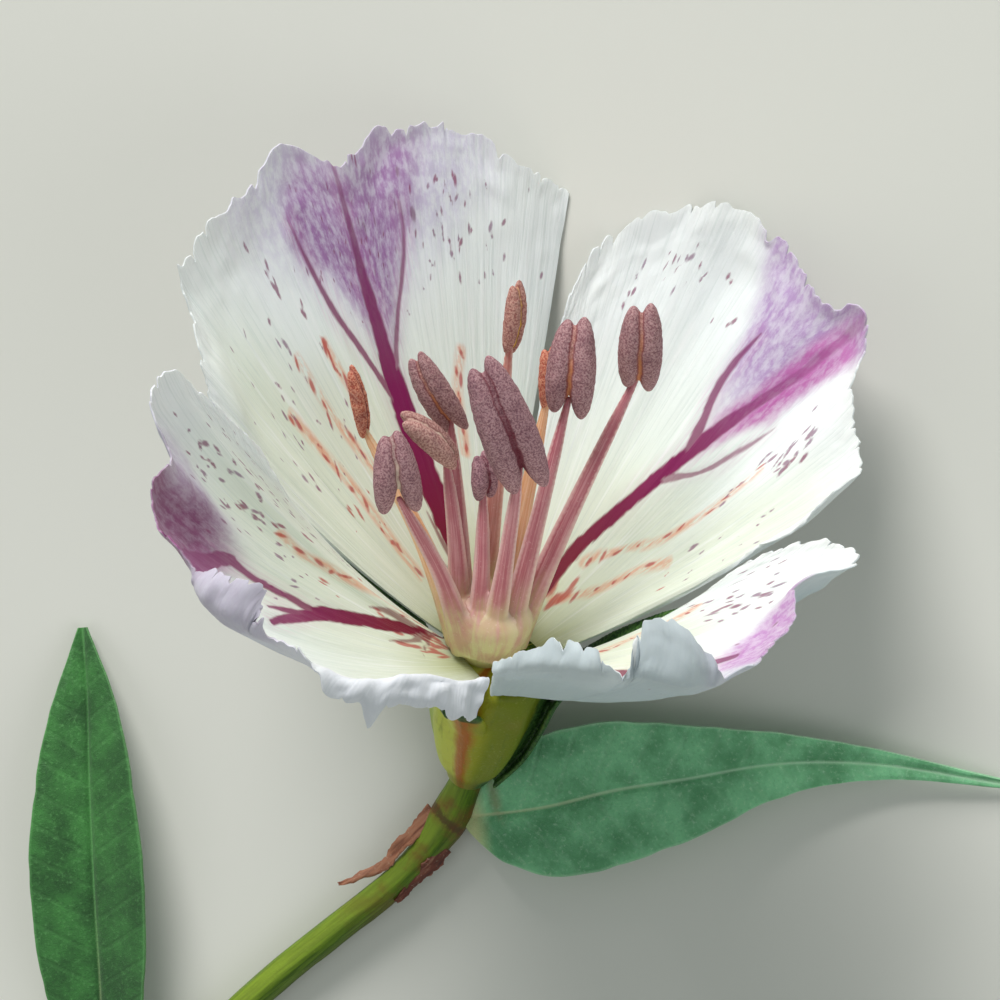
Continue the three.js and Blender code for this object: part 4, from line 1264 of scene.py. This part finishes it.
def stemMaterial():
    material = newMaterial(
        "stemSkin", Roughness=0.45, Specular_IOR_Level=0.3, Subsurface_Weight=0.12,
        Subsurface_Radius=(0.5, 1, 0.3), Subsurface_Scale=0.0006,
    )
    turn, course, radius = split(attribute(material, "course"))
    point = objectPoint(material)
    patch, fine = noise(point, 0.3, 4, 0.6), noise(point, 3.5, 3)
    fibres = noise(combined(turn * 26, course * 0.22), 1.0, 4, 0.6)
    colour = blend(smooth(fibres, 0.35, 0.68), srgb(66, 96, 8), srgb(106, 138, 26))
    # painted light and shade: paler and yellower on the upper left, where the key light falls, darker on the lower
    # right, away from it
    light = smooth(abs(turn - 0.82), 0.16, 0.02)
    colour = blend(light * 0.45, colour, srgb(160, 178, 66))
    dark = smooth(abs(turn - 0.45) + (patch - 0.5) * 0.1, 0.2, 0.04)
    colour = blend(dark * 0.6, colour, srgb(62, 60, 12))
    # brown flush and scars at the joints
    for node in stem["nodes"]:
        near = abs(course - node)
        colour = blend(smooth(near, 2.6, 0.4) * smooth(patch, 0.4, 0.62) * 0.8, colour, srgb(132, 84, 44))
        colour = blend(smooth(near + (fine - 0.5) * 0.6, 0.5, 0.15) * 0.7, colour, srgb(80, 56, 36))
    flush = smooth(course, -16.0, -3.0) * smooth(patch, 0.5, 0.66)
    colour = blend(flush * 0.6, colour, srgb(122, 70, 34))
    colour = blend(smooth(fine, 0.6, 0.78) * 0.25, colour, srgb(150, 168, 70))
    end = smooth(course, -93.0, -93.6) * smooth(radius, 1.1, 1.0)
    colour = blend(end, colour, blend(smooth(fine, 0.4, 0.6), srgb(196, 204, 150), srgb(150, 166, 104)))
    connect(material, Base_Color=colour, Normal=bumped(fibres * 0.7 + fine * 0.3, 0.35, 0.0003))
    return material


def buildStrip(name, strip):
    midline, outline, seed = Path(strip["path"]), outlined(stripBody["outline"]), strip["seed"]
    lean = math.radians(strip["lean"])
    aside, upward = np.array([math.cos(lean), 0, math.sin(lean)]), np.array([-math.sin(lean), 0, math.cos(lean)])

    def pointAt(across, along):
        v = 2 * across - 1
        torn = 0.35 * (softNoise(along * 14, across * 0, seed) - 0.5)
        torn += 0.2 * (softNoise(along * 40, across * 0, seed + 1) - 0.5)
        width = outline(along) * strip["width"] / 2 + torn * ease(along, 0, 0.2) * v
        curl = 0.25 * v**2 * np.sin(along * 9 + seed) + 0.18 * softNoise(across * 3, along * 12, seed + 2)
        place = midline.along(along) + np.outer(v * width, aside) + np.outer(curl * ease(along, 0.05, 0.4), upward)
        place[:, 2] = np.maximum(place[:, 2], 0.15)
        return place

    piece = buildBlade(name, 14, 60, pointAt, stripBody["thickness"])
    writePoints(piece, readPoints(piece) * mm)
    smoothShaded(piece)
    return piece


def stripMaterial(name, dark):
    material = newMaterial(name, Roughness=0.6, Subsurface_Weight=0.05, Subsurface_Scale=0.0004)
    point = objectPoint(material)
    stretched = point.node("ShaderNodeVectorMath", {"operation": "MULTIPLY"}, {0: point, 1: (3.0, 0.4, 3.0)})
    streaks = noise(stretched, 1.0, 4)
    fine = noise(point, 5.0, 2)
    colour = ramp(streaks, (0.25, srgb(64, 28, 22) if dark else srgb(104, 52, 36)),
                  (0.55, srgb(116, 56, 40) if dark else srgb(168, 112, 84)), (0.8, srgb(176, 128, 104)))
    colour = blend(smooth(fine, 0.6, 0.75) * 0.35, colour, srgb(206, 184, 160))
    connect(material, Base_Color=colour, Normal=bumped(streaks, 0.5, 0.0002))
    return material


settle(buildStem(), stemMaterial(), "stem", "stem")
for stripName, strip in strips.items():
    settle(buildStrip(stripName, strip), stripMaterial(stripName, strip["dark"]), "stem", "stem")
print("stem ready")


# Leaves: a blade folded along its midrib, with a groove above and side veins

leafBody = {
    "thickness": 0.42, "groove": 0.2, "wave": 0.35, "veinDepth": 0.018, "veinSlant": 0.62, "veinRun": 40, "veinGap": 2.8,
}
leaves = {
    "leafUpper": {
        "node": "leaf_upper", "fold": 10, "seed": 21, "rounding": 0.78,
        "midrib": [(0.9, 0.8, 1.9), (4.9, 6.6, 2.5), (7.9, 12.1, 3.0), (11.2, 17.1, 3.1), (14.4, 22, 2.7),
                   (17.2, 25.4, 2.2), (21.4, 29.4, 1.5), (29, 35.2, 0.8)],
        "halfWidths": [0.5, 3.9, 5.9, 6.0, 5.0, 3.2, 1.8, 0.9, 0.35],
        # these colours are lightened past the leaf's own green: painted light that lifts the flower's shadow
        "colours": (srgb(80, 152, 102), srgb(132, 208, 154), srgb(192, 230, 196)), "halfShade": (1.0, 1.0),
    },
    "leafLower": {
        "node": "leaf_lower", "fold": 24, "seed": 22, "rounding": 1.0,
        "midrib": [(-2.9, -38.6, 1.6), (-9, -32.4, 2.6), (-16.1, -25.8, 3.2), (-22.4, -20.1, 2.8), (-28.1, -15.1, 1.6),
                   (-32.1, -11.9, 0.8)],
        "halfWidths": [0.9, 3.2, 4.6, 5.2, 5.3, 4.8, 4.0, 2.5, 0.4],
        "colours": (srgb(24, 84, 26), srgb(64, 138, 60), srgb(110, 178, 104)), "halfShade": (0.72, 1.0),
    },
}


def buildLeaf(name, leaf):
    rib, outline = Path(leaf["midrib"]), outlined(leaf["halfWidths"])
    fold, seed = math.radians(leaf["fold"]), leaf["seed"]

    def pointAt(across, along):
        v = 2 * across - 1
        ahead = rib.tangent(along)
        aside = unit(np.column_stack([-ahead[:, 1], ahead[:, 0], 0 * along]))
        up = np.cross(ahead, aside)
        half = outline(along ** leaf["rounding"]) * (1 + 0.03 * (softNoise(along * 30, across * 0, seed) - 0.5))
        lift = np.abs(v) * half * math.sin(fold) * np.where(np.abs(v) < 0.1, np.abs(v) / 0.1, 1)
        lift += leafBody["groove"] * (1 - np.exp(-((v * half / 0.4) ** 2))) * ease(along, 0, 0.1) - leafBody["groove"]
        wave = softNoise(along * 7, np.sign(v) * 5 + 10, seed + 1) - 0.5
        lift += leafBody["wave"] * wave * v**2 * ease(half, 1, 3)
        slope = (np.abs(v) * half * leafBody["veinSlant"] - along * leafBody["veinRun"]) / leafBody["veinGap"]
        lift -= leafBody["veinDepth"] * np.exp(-((slope % 1 - 0.5) / 0.13) ** 2) * ease(np.abs(v), 0.05, 0.2)
        place = rib.along(along) + aside * (v * half * math.cos(fold))[:, None] + up * lift[:, None]
        place[:, 2] = np.maximum(place[:, 2], leafBody["thickness"] / 2 + 0.05)
        return place

    piece = buildBlade(name, 60, 160, pointAt, leafBody["thickness"])
    writePoints(piece, readPoints(piece) * mm)
    smoothShaded(piece)
    return piece


def leafMaterial(name, leaf):
    material = newMaterial(
        name, Roughness=0.5, Subsurface_Weight=0.12, Subsurface_Radius=(0.4, 1, 0.3), Subsurface_Scale=0.0006,
        Sheen_Weight=0.15, Sheen_Roughness=0.6,
    )
    dark, middle, pale = leaf["colours"]
    across, along = ownUV(material)
    aside = abs(across - 0.5) * 2
    point = objectPoint(material)
    patch, fine, down = noise(point, 0.25, 4, 0.6), noise(point, 3.2, 4, 0.65), noise(point, 9.0, 2)
    colour = blend(smooth(patch, 0.3, 0.7), dark, middle)
    colour = blend(smooth(fine, 0.52, 0.75) * 0.45, colour, pale)
    colour = blend(smooth(fine, 0.46, 0.3) * 0.35, colour, dark)
    rounded = along.math("POWER", along, leaf["rounding"])
    half = curved(rounded, [(k / 8, width / 8) for k, width in enumerate(leaf["halfWidths"])]) * 8
    distance = aside * half
    slope = (distance * leafBody["veinSlant"] - along * leafBody["veinRun"]) / leafBody["veinGap"] + 100
    sideVeins = smooth(abs(slope.math("FRACT", slope) - 0.5), 0.12, 0.02) * smooth(aside, 0.04, 0.2)
    colour = blend(sideVeins * 0.07, colour, pale)
    ribColour = blend(smooth(along, 0.0, 0.5), srgb(206, 214, 168), pale)
    colour = blend(smooth(distance + (fine - 0.5) * 0.2, 0.34, 0.08) * 0.6, colour, ribColour)
    left, right = leaf["halfShade"]
    # painted shade: the left half of the folded lower leaf is darkened towards its dark green
    colour = blend(smooth(across, 0.53, 0.47) * (1 - left) + (1 - right), colour, dark)
    colour = blend(smooth(along, 0.06, 0.02) * 0.8, colour, srgb(206, 206, 150))
    colour = blend(smooth(abs(along - 0.07), 0.02, 0.0) * smooth(patch, 0.45, 0.6) * 0.5, colour, srgb(140, 96, 60))
    colour = blend(smooth(aside, 0.95, 1.0) * 0.4, colour, pale)
    height = fine * 0.6 + down * 0.4 - sideVeins * 0.3
    connect(material, Base_Color=colour, Normal=bumped(height, 0.45, 0.0003), Roughness=0.42 + fine * 0.25)
    return material


for leafName, leaf in leaves.items():
    settle(buildLeaf(leafName, leaf), leafMaterial(leafName, leaf), "leaf", leaf["node"])
print("leaves ready")


# Floor, light and camera

studio = {
    "floor": srgb(226, 225, 219), "world": srgb(220, 230, 224), "worldStrength": 0.38,
    "lights": [
        {"name": "keyLight", "at": (-1.15, 0.75, 0.72), "size": 0.75, "power": 24, "colour": (1, 0.99, 0.96)},
        {"name": "fillLight", "at": (1.2, 0.5, 1.2), "size": 1.2, "power": 3, "colour": (0.94, 0.98, 1)},
        {"name": "frontLight", "at": (-0.2, -0.9, 1.3), "size": 1.0, "power": 1.2, "colour": (1, 1, 1)},
    ],
}


def buildStudio():
    bpy.ops.object.select_all(action="DESELECT")
    bpy.ops.mesh.primitive_plane_add(size=6)
    floor = made("floor")
    material = newMaterial("floorPaint", Roughness=0.85, Base_Color=studio["floor"])
    floor.data.materials.append(material)
    floor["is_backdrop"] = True
    world = bpy.context.scene.world or bpy.data.worlds.new("studio")
    bpy.context.scene.world = world
    world.use_nodes = True
    background = world.node_tree.nodes["Background"]
    background.inputs["Color"].default_value = studio["world"]
    background.inputs["Strength"].default_value = studio["worldStrength"]
    for light in studio["lights"]:
        bpy.ops.object.light_add(type="AREA", location=light["at"])
        lamp = made(light["name"])
        lamp.data.energy, lamp.data.color = light["power"], light["colour"]
        lamp.data.shape, lamp.data.size = "DISK", light["size"]
        lamp.rotation_euler = (Vector((0, 0, 0.01)) - Vector(light["at"])).to_track_quat("-Z", "Y").to_euler()


def buildCamera():
    data = bpy.data.cameras.new("camera")
    data.sensor_width, data.lens = 36, camera["lens"]
    data.clip_start, data.clip_end = 0.02, 20
    eye = bpy.data.objects.new("camera", data)
    bpy.context.scene.collection.objects.link(eye)
    place = Vector(flower["centre"]) + cameraRight * camera["aside"] + cameraUp * camera["above"]
    place = (place + cameraBack * camera["distance"]) * mm
    eye.matrix_world = Matrix.Translation(place) @ Matrix((cameraRight, cameraUp, cameraBack)).transposed().to_4x4()
    bpy.context.scene.camera = eye


buildStudio()
buildCamera()
bpy.context.scene.view_settings.view_transform = "Standard"
print("studio ready")

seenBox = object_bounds()
{"cad": [list(corner) for corner in cadBox], "visual": [list(corner) for corner in seenBox]}
